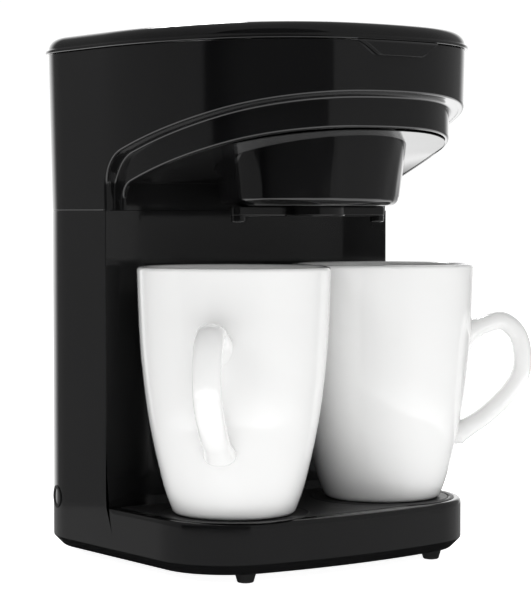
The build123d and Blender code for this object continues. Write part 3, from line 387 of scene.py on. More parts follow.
def upper_housing():
    """Outer skin of the head, and of the column above the seam."""
    r_edge, r_seam = 1.15, 0.5
    s_foot = HEAD.s_at_y(COLUMN_Y)
    front = turned_edge(HEAD, HEAD_EDGE, COLUMN_Y, 0.0, SEAM_Z)
    rear = [(s, SEAM_Z) for s in spread(s_foot, HEAD.length, 2.5)[1:]] + [(HEAD.length, SEAM_Z)]
    path = front + rear
    normals = path_normals(front) + [(0.0, -1.0)] * len(rear)
    radii = [r_edge] * len(front) + [r_seam] * len(rear)
    offsets = [(r * n[0], r * n[1]) for r, n in zip(radii, normals)]
    offsets[len(front) - 1] = (-r_edge, -r_seam)
    # where each column of the skin meets the rim
    bend = next(i for i, p in enumerate(front) if p[0] > HEAD.s_at_y(HEAD_EDGE[0][0]) - 1.5)
    last = next(i for i, p in enumerate(path) if i >= len(front) and p[0] > s_foot + 14)
    tops = [p[0] for p in path]
    for i in range(bend, last):
        tops[i] = tops[bend] + (path[last][0] - tops[bend]) * (i - bend) / (last - bend)
    rows_v = [0, 0.02, 0.06, 0.14, 0.26, 0.4, 0.55, 0.7, 0.84, 0.94, 1.0]
    top_z = RIM_Z - 0.4

    def column(i, v):
        s0, z0 = path[i][0] - offsets[i][0], path[i][1] - offsets[i][1]
        s, z = s0 + (tops[i] - s0) * v, z0 + (top_z - z0) * v
        x, y, _, _ = HEAD.at(s, flare(z))
        return x, y, z

    n = len(path)
    b = Builder()
    b.grid([mirrored([column(i, v) for i in range(n)]) for v in rows_v], close_u=True)
    # rounded lower edge, from the skin to the underside of the wall
    strip = []
    for k in range(6):
        f = k / 5 * math.pi / 2
        row = []
        for i in range(n):
            s, z = path[i]
            x, y, nx, ny = HEAD.at(s, flare(z))
            tx, ty = -ny, nx
            os, oz = offsets[i]
            c, d = radii[i] * (1 - math.cos(f)), 1 - math.sin(f)
            row.append((x - c * nx - d * os * tx, y - c * ny - d * os * ty, z - d * oz))
        strip.append(mirrored(row))
    line = circle_z(HEAD_EDGE)
    for depth in (1.9, WALL):
        row = []
        for i in range(n):
            s, z = path[i]
            x, y, nx, ny = HEAD.at(s, flare(z) - depth)
            if i < bend:
                z = line(y)
            row.append((x, y, z))
        strip.append(mirrored(row))
    b.grid(strip, close_u=True)
    # rim and inside
    rim = []
    for grow, z in ((flare(top_z), top_z), (FLARE - 0.1, RIM_Z - 0.1), (FLARE - 0.4, RIM_Z),
                    (FLARE - WALL, RIM_Z), (FLARE - WALL, RIM_Z - 12), (FLARE - WALL, DECK_Z)):
        rim.append(mirrored([HEAD.at(s, grow)[:2] + (z,) for s in tops]))
    b.grid(rim, close_u=True)
    return make("upper_housing_shell", b.verts, b.faces, "black_shell", "machine",
                ["upper_housing"])


def edge_band(name, plan, edge, foot, grow, wall, z_top, radius, mat, nodes):
    """Upright band whose lower edge follows an edge line and turns down at the back."""
    front = turned_edge(plan, edge, foot, grow, SEAM_Z + 0.2)
    normals = path_normals(front)
    s_end = plan.s_at_y(COLUMN_Y + 1.8, grow)
    n = len(front)
    bend = next(i for i, p in enumerate(front) if p[0] > plan.s_at_y(edge[0][0], grow) - 1.5)
    tops = [p[0] for p in front]
    for i in range(bend, n):
        tops[i] = tops[bend] + (s_end - tops[bend]) * (i - bend) / (n - 1 - bend)
    z_of = circle_z(HEAD_EDGE)

    def top(y):
        return min(z_of(min(y, -9.5)) + 0.6, z_top)

    rows = []
    for v in (0, 0.04, 0.12, 0.3, 0.5, 0.7, 0.88, 1.0):
        row = []
        for i in range(n):
            s0 = front[i][0] - radius * normals[i][0]
            z0 = front[i][1] - radius * normals[i][1]
            st = tops[i]
            yt = plan.at(st, grow)[1]
            s, z = s0 + (st - s0) * v, z0 + (top(yt) - z0) * v
            x, y, _, _ = plan.at(s, grow)
            row.append((x, y, z))
        rows.append(row)
    strip = []
    for k in range(6):
        f = k / 5 * math.pi / 2
        row = []
        for i in range(n):
            s, z = front[i]
            x, y, nx, ny = plan.at(s, grow)
            c, d = radius * (1 - math.cos(f)), radius * (1 - math.sin(f))
            row.append((x - c * nx + d * normals[i][0] * ny, y - c * ny - d * normals[i][0] * nx,
                        z - d * normals[i][1]))
        strip.append(row)
    inner = []
    for i in range(n):
        s, z = front[i]
        x, y, _, _ = plan.at(s, grow - wall)
        inner.append((x, y, z))
    up = [(x, y, z + 8) for x, y, z in inner]
    b = Builder()

    b.grid([both_sides(r) for r in rows])
    b.grid([both_sides(r) for r in strip + [inner, up]])
    return make(name, b.verts, b.faces, mat, "machine", nodes)


def head_ledge():
    """Flat ledge between the housing's lower edge and the band, turning down beside it."""
    front = turned_edge(HEAD, HEAD_EDGE, COLUMN_Y, 0.0, SEAM_Z + 0.2)
    line = circle_z(HEAD_EDGE)
    bend = next(i for i, p in enumerate(front) if p[0] > HEAD.s_at_y(HEAD_EDGE[0][0]) - 1.5)
    normals = path_normals(front)
    # (inward move, sink) from under the housing's edge round to behind the band
    cove = [(-1.0, -0.12), (-1.8, -0.04), (-3.2, 0.0), (-4.4, 0.05), (-5.0, 0.2), (-5.3, 0.5),
            (-5.45, 1.0), (-5.6, 2.2)]
    rows = []
    for grow, sink in cove:
        row = []
        for i, (s, z) in enumerate(front):
            x, y, _, _ = HEAD.at(s + sink * normals[i][0], grow)
            row.append((x, y, (line(y) if i < bend else z) + sink * normals[i][1]))
        rows.append(both_sides(row))
    b = Builder()
    b.grid(rows)
    return make("head_ledge", b.verts, b.faces, "black_shell", "machine")


def recess_line(inset=0.0, step=3.0, corner=7.0):
    """Half of the hollow front of the column in plan, from (half width, front) to the middle,
    with its inner corner rounded."""
    a, c = (HALF, COLUMN_Y + inset), (PANEL_HALF, PANEL_Y + inset)
    d = math.hypot(a[0] - c[0], a[1] - c[1])
    ux, uy = (a[0] - c[0]) / d, (a[1] - c[1]) / d
    p0 = (c[0] + ux * corner, c[1] + uy * corner)
    p1 = (c[0] - corner, c[1])
    pts = [(a[0] + (p0[0] - a[0]) * k / 8, a[1] + (p0[1] - a[1]) * k / 8) for k in range(9)]
    for k in range(1, 7):
        t = k / 6
        pts.append(tuple((1 - t) ** 2 * p0[j] + 2 * t * (1 - t) * c[j] + t * t * p1[j]
                         for j in (0, 1)))
    pts += [(x, p1[1]) for x in spread(p1[0], 0.0, step)[1:]] + [(0.0, p1[1])]
    return pts


def head_underside():
    """Roof of the mug bay: it meets the band in front and rolls into the back wall."""
    roof_z, lip_z = circle_z(UNDERSIDE), circle_z(BAND_EDGE)
    inner = BAND_GROW - BAND_WALL + 0.4

    def bay_roof(y, f):
        """Roof that sinks towards its outer edge until it meets the band's lower edge."""
        low = min(roof_z(y), lip_z(min(y, -4.0)) + 0.35)
        return roof_z(y) + (low - roof_z(y)) * f ** 3

    s_end = HEAD.s_at_y(COLUMN_Y + 1.0, inner)
    r_front, r_back = 0.3, 0.35          # how the roof's edge rolls down at the band and behind
    half = []
    for s in spread(0.0, s_end, 2.5) + [s_end]:
        x, y, _, _ = HEAD.at(s, inner)
        half.append((x, y, r_front, bay_roof(y, 1.0) - 0.2))
    xe = half[-1][0]
    for x, y in recess_line():
        if x < xe - 1.5:
            half.append((x, y, r_back, SEAM_Z + 0.2))
    full = mirrored(half)
    rows = []
    rear = [(x, y - r) if r == r_back else (x, y) for x, y, r, _ in full]
    rad = DRUM_R + 2.6                   # the roof's hole round the cup
    for f in (0.0, 0.2, 0.45, 0.7, 0.88, 1.0):
        row = []
        for (x, y) in rear:
            a = math.atan2(y - DRUM_Y, x)
            cx, cy = rad * math.cos(a), DRUM_Y + rad * math.sin(a)
            px, py = cx + (x - cx) * f, cy + (y - cy) * f
            row.append((px, py, bay_roof(py, f) if y < -2.0 else roof_z(py)))
        rows.append(row)
    for k in range(1, 6):
        t = k / 5 * math.pi / 2
        row = []
        for x, y, r, z in full:
            y_k = y - r + r * math.sin(t) if r == r_back else y
            z_k = roof_z(y - r) if r == r_back else bay_roof(y, 1.0)
            row.append((x, y_k, z_k - r * (1 - math.cos(t))))
        rows.append(row)
    rows.append([(x, y, z) for x, y, _, z in full])
    b = Builder()
    b.grid(rows, close_u=True)
    # the roof wears the lighter panel black: painted fill light in the shade under the head
    return make("head_underside_shell", b.verts, b.faces, "black_shell", "machine",
                ["head_underside"], look="black_gloss_panel")


def revolve(b, cx, cy, profile, n=96):
    """An (r, z) profile turned about an upright axis."""
    rows = [[(cx + r * math.cos(2 * math.pi * k / n), cy + r * math.sin(2 * math.pi * k / n), z)
             for k in range(n)] for r, z in profile]
    b.grid(rows, close_u=True)


def arc_points(centre, r, a0, a1, n):
    """Points of an arc between two angles in degrees."""
    return [(centre[0] + r * math.cos(math.radians(a0 + (a1 - a0) * k / n)),
             centre[1] + r * math.sin(math.radians(a0 + (a1 - a0) * k / n)))
            for k in range(n + 1)]


def brew_drum():
    """Tapered cup under the head, with its outlet hole."""
    hole, edge, wall, top = 6.0, 4.0, 2.0, DRUM_TOP
    prof = [(hole, DRUM_Z + wall), (hole, DRUM_Z)]
    prof += [(r, DRUM_Z) for r in np.linspace(8, DRUM_R - edge, 8)]
    prof += arc_points((DRUM_R - edge + 0.25, DRUM_Z + edge), edge, -90, 7, 7)[1:]
    prof += [(DRUM_R + (z - DRUM_Z) * DRUM_SLOPE, z) for z in np.linspace(DRUM_Z + edge, top, 16)]
    prof += [(DRUM_R + (top - DRUM_Z) * DRUM_SLOPE - wall, top),
             (DRUM_R - wall, DRUM_Z + wall), (hole, DRUM_Z + wall)]
    b = Builder()
    revolve(b, 0.0, DRUM_Y, prof, 128)
    return make("brew_drum_cup", b.verts, b.faces, "black_shell", "machine", ["brew_drum"],
                look="black_drum")


def prism(b, outline, low, high, along_x=False):
    """An (x, y) outline drawn out along Z, or a (y, z) outline along X."""
    n = len(outline)
    base = len(b.verts)
    for end in (low, high):
        b.verts += [(end, p, q) if along_x else (p, q, end) for p, q in outline]
    b.faces += [(base + i, base + (i + 1) % n, base + n + (i + 1) % n, base + n + i)
                for i in range(n)]
    b.faces.append(tuple(reversed(range(base, base + n))))
    b.faces.append(tuple(range(base + n, base + 2 * n)))


def outlet_channel():
    """Covered channel under the cup: a bar with a disc in its middle and a spout at each end."""
    hw, disc = 3.4, 16.0
    a = math.degrees(math.asin(hw / disc))
    outline = arc_points((OUTLET_X, DRUM_Y), hw, -90, 90, 12)
    outline += arc_points((0, DRUM_Y), disc, a, 180 - a, 28)
    outline += arc_points((-OUTLET_X, DRUM_Y), hw, 90, 270, 12)
    outline += arc_points((0, DRUM_Y), disc, 180 + a, 360 - a, 28)
    b = Builder()
    prism(b, outline, OUTLET_Z, DRUM_Z)
    obj = make("outlet_channel_bar", b.verts, b.faces, "black_shell", "machine",
               ["outlet_channel"], bevel=0.9)
    for side, label in SIDES:
        s = Builder()
        x = side * OUTLET_X
        revolve(s, x, DRUM_Y, [(3.2, OUTLET_Z + 0.6), (3.2, SPOUT_Z + 0.7), (3.0, SPOUT_Z + 0.2),
                               (2.6, SPOUT_Z), (2.0, SPOUT_Z), (1.7, SPOUT_Z + 0.4),
                               (1.7, OUTLET_Z + 1.4), (0.05, OUTLET_Z + 1.5)], 48)
        make(f"spout_{label}", s.verts, s.faces, "black_shell", "machine")
    return obj


# ---- lid -----------------------------------------------------------------------------------
def lid():
    """Crowned lid with a rolled lower lip, its thumb tab and its hinge lugs."""
    b = Builder()
    edge, crown, step = 5.5, 0.9, 1.8
    z_side = HEIGHT - crown - edge
    prof = [(FLARE - 2.0, RIM_Z + 0.35), (FLARE + 1.0, RIM_Z + 0.3), (FLARE + 1.25, RIM_Z + 0.42),
            (FLARE + 1.4, RIM_Z + 0.7), (FLARE + 1.4, RIM_Z + 1.3), (FLARE + 1.2, RIM_Z + 1.65),
            (FLARE + 0.8, RIM_Z + 1.8), (FLARE + 0.35, RIM_Z + 1.85), (FLARE + 0.1, RIM_Z + 2.1),
            (FLARE, RIM_Z + 2.6), (FLARE, z_side - 0.6)]
    prof += arc_points((FLARE - edge, z_side), edge, 0, 82, 12)
    b.grid([ring(HEAD, g, z, step) for g, z in prof], close_u=True)
    g, z = prof[-1]
    outer = ring(HEAD, g, z, step)
    b.fan(outer, (0.0, -8.0, HEIGHT - 0.1), 14,
          lambda f: (HEIGHT - 0.1 - z) * (f * (2 - f) - f) if f < 1 else 0.0)
    under = [(FLARE - 2.0, RIM_Z + 0.35), (FLARE - 2.0, HEIGHT - 5.5), (FLARE - 3.0, HEIGHT - 3.4),
             (FLARE - 5.5, HEIGHT - 2.4)]
    b.grid([ring(HEAD, g2, z2, step) for g2, z2 in under], close_u=True)
    b.fan(ring(HEAD, *under[-1], step), (0.0, -8.0, HEIGHT - 2.1), 8)
    obj = make("lid_cover", b.verts, b.faces, "black_shell", "lid", ["lid"])
    # thumb tab
    t = Builder()
    nx, nz = 25, 10
    top, bottom, drop, corner = 22.0, 12.8, 6.2, 2.4       # half widths, height, corner radius

    def tab_point(u, v, outer_side):
        z = RIM_Z + 0.3 - (drop + 0.3) * v
        width = bottom + (top - bottom) * (1 - v) ** 1.5
        low = max(0.0, v - 0.6) / 0.4
        width -= corner * (1 - math.sqrt(max(0.0, 1 - low * low)))
        x = u * width
        out = 1.2 + 2.2 * min(1.0, v / 0.18) ** 0.5 - 0.5 * v
        grow = FLARE + (out if outer_side else 0.4)
        y = HEAD_FRONT + FRONT_R - math.sqrt((FRONT_R + grow) ** 2 - x * x)
        return x, y, z

    us = [-1 + 2 * i / (nx - 1) for i in range(nx)]
    vs = [0.0, 0.02, 0.05] + [k / nz for k in range(1, nz + 1)]
    front = [[tab_point(u, v, True) for u in us] for v in vs]
    back = [[tab_point(u, v, False) for u in us] for v in vs]
    t.grid(front)
    t.grid(back)
    t.grid([[r[0] for r in front], [r[0] for r in back]])
    t.grid([[r[-1] for r in front], [r[-1] for r in back]])
    t.grid([front[-1], back[-1]])
    t.grid([front[0], back[0]])
    make("lid_tab", t.verts, t.faces, "black_shell", "lid", bevel=0.5)
    # hinge lugs
    for side, label in SIDES:
        k = Builder()
        hinge_body(k, side * HINGE_X - LUG_HALF, side * HINGE_X + LUG_HALF, True)
        make(f"lid_lug_{label}", k.verts, k.faces, "black_shell", "lid", bevel=0.45)
    return obj


def hinge_body(b, x0, x1, on_lid):
    """Knuckle with its web: an outline in the side view, drawn out along X."""
    pin, r = (HINGE_Y, HINGE_Z), 2.8
    if on_lid:
        outline = arc_points(pin, r, -200, 20, 20)
        outline += [(HINGE_Y + 2.4, RIM_Z + 0.4), (HINGE_Y + 1.0, RIM_Z + 1.7),
                    (BACK_Y + 2.0, RIM_Z + 1.7), (BACK_Y + 2.0, RIM_Z + 0.3),
                    (HINGE_Y - 2.4, RIM_Z + 0.2)]
    else:
        outline = arc_points(pin, r, -110, 120, 20)
        outline += [(BACK_Y + 0.6, HINGE_Z + 2.0), (BACK_Y + 0.6, HINGE_Z - 7.5)]
    prism(b, outline, x0, x1, along_x=True)


def housing_knuckles():
    """The housing's part of the hinge: a knuckle at each end of both lugs."""
    for side, label in SIDES:
        for end in (-1, 1):
            x = side * HINGE_X + end * (LUG_HALF + 0.4 + KNUCKLE_HALF)
            b = Builder()
            hinge_body(b, x - KNUCKLE_HALF, x + KNUCKLE_HALF, False)
            part = "in" if end * side < 0 else "out"
            make(f"knuckle_{label}_{part}", b.verts, b.faces, "black_shell", "machine", bevel=0.45)


# ---- column and base -----------------------------------------------------------------------
def lower_shell():
    """Base and column up to the seam in one skin, with the pocket for the mug plate."""
    r_rim, r_edge, r_seam = 1.6, 0.4, 0.35
    s_foot = BASE.s_at_y(COLUMN_Y)
    rim = [(s, BASE_TOP) for s in spread(0.0, s_foot, 2.0)] + [(s_foot, BASE_TOP)]
    edge = [(s_foot, z) for z in spread(BASE_TOP, SEAM_Z, 5.0)[1:]] + [(s_foot, SEAM_Z)]
    joint = BASE.length - REAR_HALF
    along = spread(s_foot, BASE.length, 2.5)[1:] + [joint - 0.4, joint, joint + 0.4, BASE.length]
    seam = [(s, SEAM_Z) for s in sorted(along)]
    path = rim + edge + seam
    n = len(path)

    def eased(r, distance):
        """Radius that dies away to almost nothing at the corner of rim and column."""
        f = min(1.0, distance / 7.0)
        return r * (0.1 + 0.9 * f * f * (3 - 2 * f))

    def sunk(s, z):
        """The rear cover's joint is a fine groove that stops at the base."""
        return -0.6 if s == joint and z > BASE_TOP + 0.05 else 0.0

    # inward offsets of the skin's edge in the (s, z) surface
    off = [(0.0, -eased(r_rim, s_foot - s)) for s, _ in rim]
    off += [(eased(r_edge, z - BASE_TOP), 0.0) for _, z in edge] + [(0.0, -r_seam)] * len(seam)
    corner = len(rim) - 1
    off[corner] = (0.1 * r_edge, -0.1 * r_rim)
    off[len(rim) + len(edge) - 1] = (r_edge, -r_seam)
    into = []
    for i, (s, z) in enumerate(path):
        _, _, nx, ny = BASE.at(s)
        if len(rim) <= i < len(rim) + len(edge) - 1:
            d, r = math.hypot(HALF - PANEL_HALF, PANEL_Y - COLUMN_Y), off[i][0]
            into.append((-r * (HALF - PANEL_HALF) / d, r * (PANEL_Y - COLUMN_Y) / d))
        else:
            r = -off[i][1]
            into.append((-r * nx, -r * ny))
    bottoms = [p[0] for p in path]
    last = next(i for i, p in enumerate(path) if i > len(rim) + len(edge) and p[0] > s_foot + 16)
    first = next(i for i, p in enumerate(path) if p[0] > s_foot - 12)
    for i in range(first, last):
        share = (i - first) / (last - first)
        bottoms[i] = path[first][0] + (path[last][0] - path[first][0]) * share
    z_low = BASE_Z + CHAMFER
    z_skin = z_low + 0.4                 # lowest ring of the upright skin
    b = Builder()
    rows = []
    v_base = (BASE_TOP - z_skin) / (SEAM_Z - z_skin)
    for v in (0, 0.05, v_base, v_base + 0.004, 0.22, 0.36, 0.5, 0.64, 0.78, 0.88, 0.95, 1.0):
        row = []
        for i in range(n):
            s1, z1 = path[i][0] + off[i][0], path[i][1] + off[i][1]
            s, z = bottoms[i] + (s1 - bottoms[i]) * v, z_skin + (z1 - z_skin) * v
            x, y, _, _ = BASE.at(s, sunk(s, z))
            row.append((x, y, z))
        rows.append(mirrored(row))
    b.grid(rows, close_u=True)
    strip = []
    for k in range(7):
        f = k / 6 * math.pi / 2
        row = []
        for i in range(n):
            s, z = path[i]
            x, y, nx, ny = BASE.at(s, sunk(s, z))
            c, d = 1 - math.cos(f), 1 - math.sin(f)
            row.append((x + c * into[i][0] - d * off[i][0] * ny,
                        y + c * into[i][1] + d * off[i][0] * nx, z + d * off[i][1]))
        strip.append(row)
    # the rounded edge is one strip; the rim's corner beside the column stays inside the shell
    b.grid([mirrored(r) for r in strip], close_u=True)
    # seam's upper face
    top_rows = []
    start = len(rim) + len(edge) - 1
    for grow in (-r_seam, -1.2, -WALL):
        row = [BASE.at(path[i][0], min(grow, grow + sunk(*path[i])))[:2] + (SEAM_Z,)
               for i in range(start, n)]
        top_rows.append(row + [(-p[0], *p[1:]) for p in reversed(row[:-1])])
    b.grid(top_rows)
    # chamfer and underside edge
    low = []
    for g, z in ((0.0, z_skin), (-0.12, z_low + 0.05), (-0.5, z_low - 0.45),
                 (-CHAMFER + 0.5, BASE_Z + 0.55), (-CHAMFER, BASE_Z + 0.15),
                 (-CHAMFER - 0.5, BASE_Z), (-CHAMFER - 2.4, BASE_Z),
                 (-CHAMFER - 2.5, BASE_Z + 2.0)):
        low.append(mirrored([BASE.at(s, g)[:2] + (z,) for s in bottoms]))
    b.grid(low, close_u=True)
    # top of the rim round the plate's pocket, then the pocket's wall and floor
    pocket_y, rim_w, depth = COLUMN_Y - 2.0, 5.5, 3.0
    outer, inner = [], []
    for s in spread(0.0, s_foot, 2.0) + [s_foot]:
        x, y, _, _ = BASE.at(s, -eased(r_rim, s_foot - s))
        outer.append((x, y, BASE_TOP))
        px, py, _, _ = BASE.at(s, -rim_w)
        inner.append((px, min(py, pocket_y), BASE_TOP))
    lip = [[(x, y, z - drop) for x, y, z in inner] for drop in (0.0, 0.35, depth)]
    mid = [tuple((a[j] * 0.35 + c[j] * 0.65) for j in range(3)) for a, c in zip(outer, inner)]
    b.grid([both_sides(r) for r in (outer, mid, inner)])
    b.grid([both_sides(r) for r in lip])
    x_wall, x_rim = HALF - rim_w, HALF - r_rim
    back = [(x, pocket_y, BASE_TOP) for x in np.linspace(x_wall, -x_wall, 40)]
    to = []
    for x, _, _ in back:
        share = min(1.0, (HALF - abs(x)) / (HALF - PANEL_HALF))
        to.append((x, COLUMN_Y + share * (PANEL_Y - COLUMN_Y) + 0.8, BASE_TOP))
    b.grid([back, to])
    b.grid([back, [(x, y, z - depth) for x, y, z in back]])
    for sign in (1, -1):
        b.grid([[(sign * x, pocket_y, BASE_TOP), (sign * x, y, BASE_TOP)]
                for x, y in ((x_wall, COLUMN_Y + 2.4), (x_rim, COLUMN_Y + 1.0))])
    return make("lower_shell_moulding", b.verts, b.faces, "black_shell", "machine",
                ["base_shell", "column_left", "column_right", "column_back"], sharp=34)


def column_panel():
    """The column's hollow front in one glossy sheet, its corners softly rounded."""
    half = recess_line()
    d = math.hypot(HALF - PANEL_HALF, PANEL_Y - COLUMN_Y)
    edge = 0.4                           # the sheet starts behind the shell's rounded edge
    half[0] = (HALF - edge * (HALF - PANEL_HALF) / d, COLUMN_Y + edge * (PANEL_Y - COLUMN_Y) / d)
    line = half + [(-x, y) for x, y in reversed(half[:-1])]
    b = Builder()
    levels = [BASE_TOP - 1.5] + list(np.linspace(BASE_TOP + 4, SEAM_Z - 3, 14)) + [SEAM_Z]
    b.grid([[(x, y, z) for x, y in line] for z in levels])
    # the lighter panel black is painted fill light in the column's shaded hollow
    return make("column_panel_sheet", b.verts, b.faces, "black_gloss_panel", "machine",
                ["column_panel"], sharp=60)


def mug_plate():
    """Plate with rounded edges, and the raised ring that each mug stands in."""
    b = Builder()
    grow = -5.85
    y_back = COLUMN_Y - 2.35
    s_end = BASE.s_at_y(y_back, grow)
    half = []
    for s in spread(0.0, s_end, 2.0) + [s_end]:
        half.append(BASE.at(s, grow)[:2])
    outline = half + [(x, y_back) for x in np.linspace(half[-1][0], -half[-1][0], 40)[1:-1]]
    outline += [(-x, y) for x, y in reversed(half)][:-1]
    prism(b, outline, PLATE_TOP - PLATE_T, PLATE_TOP)
    obj = make("mug_plate_slab", b.verts, b.faces, "black_matte", "tray", ["mug_plate"], bevel=0.5)
    ridge = [(-1.0, -0.02), (-0.7, 0.05), (-0.3, 0.3), (0.3, 0.3), (0.7, 0.05), (1.0, -0.02)]
    for label, (x, y, _) in MUGS.items():
        r = Builder()
        revolve(r, x, y, [(RING_R + out, PLATE_TOP + up) for out, up in ridge])
        make(f"plate_ring_{label}", r.verts, r.faces, "black_matte", "tray")
    return obj


def feet():
    """Four rubber feet, narrower towards the table."""
    b = Builder()
    profile = [(0.05, 0.0), (2.6, 0.0), (3.2, 0.15), (3.6, 0.6), (4.4, 3.4), (4.6, BASE_Z),
               (0.05, BASE_Z)]
    for sx in (-1, 1):
        for sy in (-1, 1):
            revolve(b, sx * FOOT_X, sy * FOOT_Y, profile, 40)
    return make("feet_pads", b.verts, b.faces, "foot_rubber", "machine", ["feet"])


# ---- mugs ----------------------------------------------------------------------------------
def blend(p, q, t0, t1, u):
    """Value at u on the line from p at t0 to q at t1."""
    return (t1 - u) / (t1 - t0) * p + (u - t0) / (t1 - t0) * q


def smooth_curve(points, n):
    """Points along a centripetal Catmull-Rom curve."""
    pts = [np.array(p, float) for p in points]
    pts = [2 * pts[0] - pts[1]] + pts + [2 * pts[-1] - pts[-2]]
    out = []
    spans = len(pts) - 3
    for i in range(spans):
        p = pts[i:i + 4]
        t = [0.0]
        for k in range(3):
            t.append(t[-1] + max(1e-6, float(np.linalg.norm(p[k + 1] - p[k]))) ** 0.5)
        m = n // spans
        for k in range(m + (i == spans - 1)):
            u = t[1] + (t[2] - t[1]) * k / m
            a = [blend(p[j], p[j + 1], t[j], t[j + 1], u) for j in range(3)]
            c = [blend(a[j], a[j + 1], t[j], t[j + 2], u) for j in range(2)]
            out.append(blend(c[0], c[1], t[1], t[2], u))
    return out


def mug(name, body):
    """Mug with its handle, made at the origin and then turned and put in its place."""
    cx, cy, turn = MUGS[name]
    z0 = PLATE_TOP
    h, w = MUG_H, MUG_WALL
    out_side = smooth_curve([(27.0, 1.5), (30.0, 10.0), (33.1, 22.0), (36.3, 37.0), (38.6, 52.0),
                             (40.6, 72.0), (41.5, 90.0), (MUG_R, h - 1.8)], 42)
    in_side = smooth_curve([(MUG_R - w + 0.3, h - 1.8), (41.5 - w, 90.0), (40.6 - w, 72.0),
                            (38.4 - w, 52.0), (35.9 - w, 37.0), (32.4 - w, 22.0),
                            (27.4 - w, 12.5), (18.0, 8.6), (8.0, 7.7), (0.05, 7.5)], 45)
    prof = [(0.05, 2.2), (15.0, 2.2), (21.5, 2.0), (22.6, 1.6), (23.2, 0.5), (23.8, 0.05),
            (25.2, 0.05), (26.2, 0.5)]
    prof += [tuple(p) for p in out_side]
    prof += [(MUG_R - 0.1, h - 1.0), (MUG_R - 0.7, h - 0.3), (MUG_R - w / 2, h),
             (MUG_R - w + 0.8, h - 0.4), (MUG_R - w + 0.35, h - 1.0)]
    prof += [tuple(p) for p in in_side]
    b = Builder()
    revolve(b, 0.0, 0.0, prof, 128)
    # handle: an oval bar along an ear-shaped line, widened where it joins the wall, its ends
    # seated in the thickness of the wall
    wall_r, wall_z = [p[0] for p in out_side], [p[1] for p in out_side]
    line = smooth_curve([(35.0, 71.6), (40.5, 75.6), (47.2, 78.9), (55.0, 80.6), (61.5, 75.6),
                         (64.4, 66.4), (63.7, 56.6), (58.2, 47.5), (47.7, 37.4), (40.5, 32.4),
                         (34.0, 28.6)], 90)
    rows = []
    m, oval, seat = 24, 0.9, 1.4         # points round the bar, its squareness, depth of its ends
    for i, p in enumerate(line):
        q0, q1 = line[max(0, i - 1)], line[min(len(line) - 1, i + 1)]
        t = q1 - q0
        t = t / np.linalg.norm(t)
        nrm = np.array([-t[1], t[0]])
        f = i / (len(line) - 1)
        high, low = max(0.0, 1 - f / 0.2) ** 2, max(0.0, (f - 0.86) / 0.14) ** 2
        wide, thick = 6.0 + 1.6 * high + 1.2 * low, 4.2 + 3.4 * high + 1.4 * low
        row = []
        for k in range(m):
            a = 2 * math.pi * k / m
            ca, sa = math.cos(a), math.sin(a)
            u = thick * abs(ca) ** oval * (1 if ca >= 0 else -1)
            v = wide * abs(sa) ** oval * (1 if sa >= 0 else -1)
            x, y, z = p[0] + nrm[0] * u, v, p[1] + nrm[1] * u
            sunk = float(np.interp(z, wall_z, wall_r)) - seat
            r = math.hypot(x, y)
            if i in (0, len(line) - 1) or (r < sunk and (f < 0.2 or f > 0.8)):
                x, y = x * sunk / r, y * sunk / r
            row.append((x, y, z))
        rows.append(row)
    b.grid(rows, close_u=True)
    cos_t, sin_t = math.cos(math.radians(turn)), math.sin(math.radians(turn))
    verts = [(cx + x * cos_t - y * sin_t, cy + x * sin_t + y * cos_t, z0 + z)
             for x, y, z in b.verts]
    return make(f"{name}_glazed", verts, b.faces, "white_glaze", body, [name], sharp=60)


# ---- assembly ------------------------------------------------------------------------------
upper_housing()
edge_band("head_band_strip", HEAD, BAND_EDGE, BAND_FOOT, BAND_GROW, BAND_WALL, BAND_TOP, BAND_R,
          "black_shell", ["head_band"])
head_ledge()
head_underside()
brew_drum()
outlet_channel()
lid()
housing_knuckles()
lower_shell()
column_panel()
mug_plate()
feet()
mug("mug_left", "left_mug")
mug("mug_right", "right_mug")

SLOTS = {s["node"]: s["material_slot"] for s in frame["record"]["subparts"]}
for name, obj in NODES.items():
    obj.data.materials.clear()
    obj.data.materials.append(MATS[SLOTS[name]])


# ---- stage ---------------------------------------------------------------------------------
FORWARD, DOWN = math.radians(36.5), math.radians(2.42)     # the camera's azimuth and pitch
EYE, LENS, SENSOR = (-0.5781, -0.7883, 0.1581), 127.26, 36.0


def glowing(name, grey, rough, level):
    """Plain material that gives off white light of its own."""
    mat = bpy.data.materials.new(name)
    mat.use_nodes = True
    shader = mat.node_tree.nodes["Principled BSDF"]
    shader.inputs["Base Color"].default_value = (grey, grey, grey, 1)
    shader.inputs["Roughness"].default_value = rough
    shader.inputs["Emission Color"].default_value = (1, 1, 1, 1)
    shader.inputs["Emission Strength"].default_value = level
    return mat


def floor():
    """Pale sweep that is bright enough of itself to burn out to white, as studio paper does."""
    mesh = bpy.data.meshes.new("floor")
    bm = bmesh.new()
    bmesh.ops.create_grid(bm, x_segments=24, y_segments=24, size=3.0)
    bm.to_mesh(mesh)
    bm.free()
    obj = bpy.data.objects.new("floor", mesh)
    bpy.context.scene.collection.objects.link(obj)
    mesh.materials.append(glowing("floor", 0.9, 0.8, 0.95))
    obj.visible_glossy = False
    return obj


floor()


def area(name, azimuth, elevation, distance, size, power, tall=1.0, in_gloss=True):
    """Soft box aimed at the machine. One that is out of the gloss only fills in shade."""
    light = bpy.data.lights.new(name, "AREA")
    light.shape = "RECTANGLE"
    light.size, light.size_y = size, size * tall
    light.energy = power
    obj = bpy.data.objects.new(name, light)
    a, e = math.radians(azimuth), math.radians(elevation)
    toward = Vector((math.sin(a) * math.cos(e), math.cos(a) * math.cos(e), math.sin(e)))
    obj.location = Vector((0.0, 0.0, 0.12)) + toward * distance
    obj.rotation_euler = (-toward).to_track_quat("-Z", "Y").to_euler()
    obj.visible_glossy = in_gloss
    bpy.context.scene.collection.objects.link(obj)
    return obj


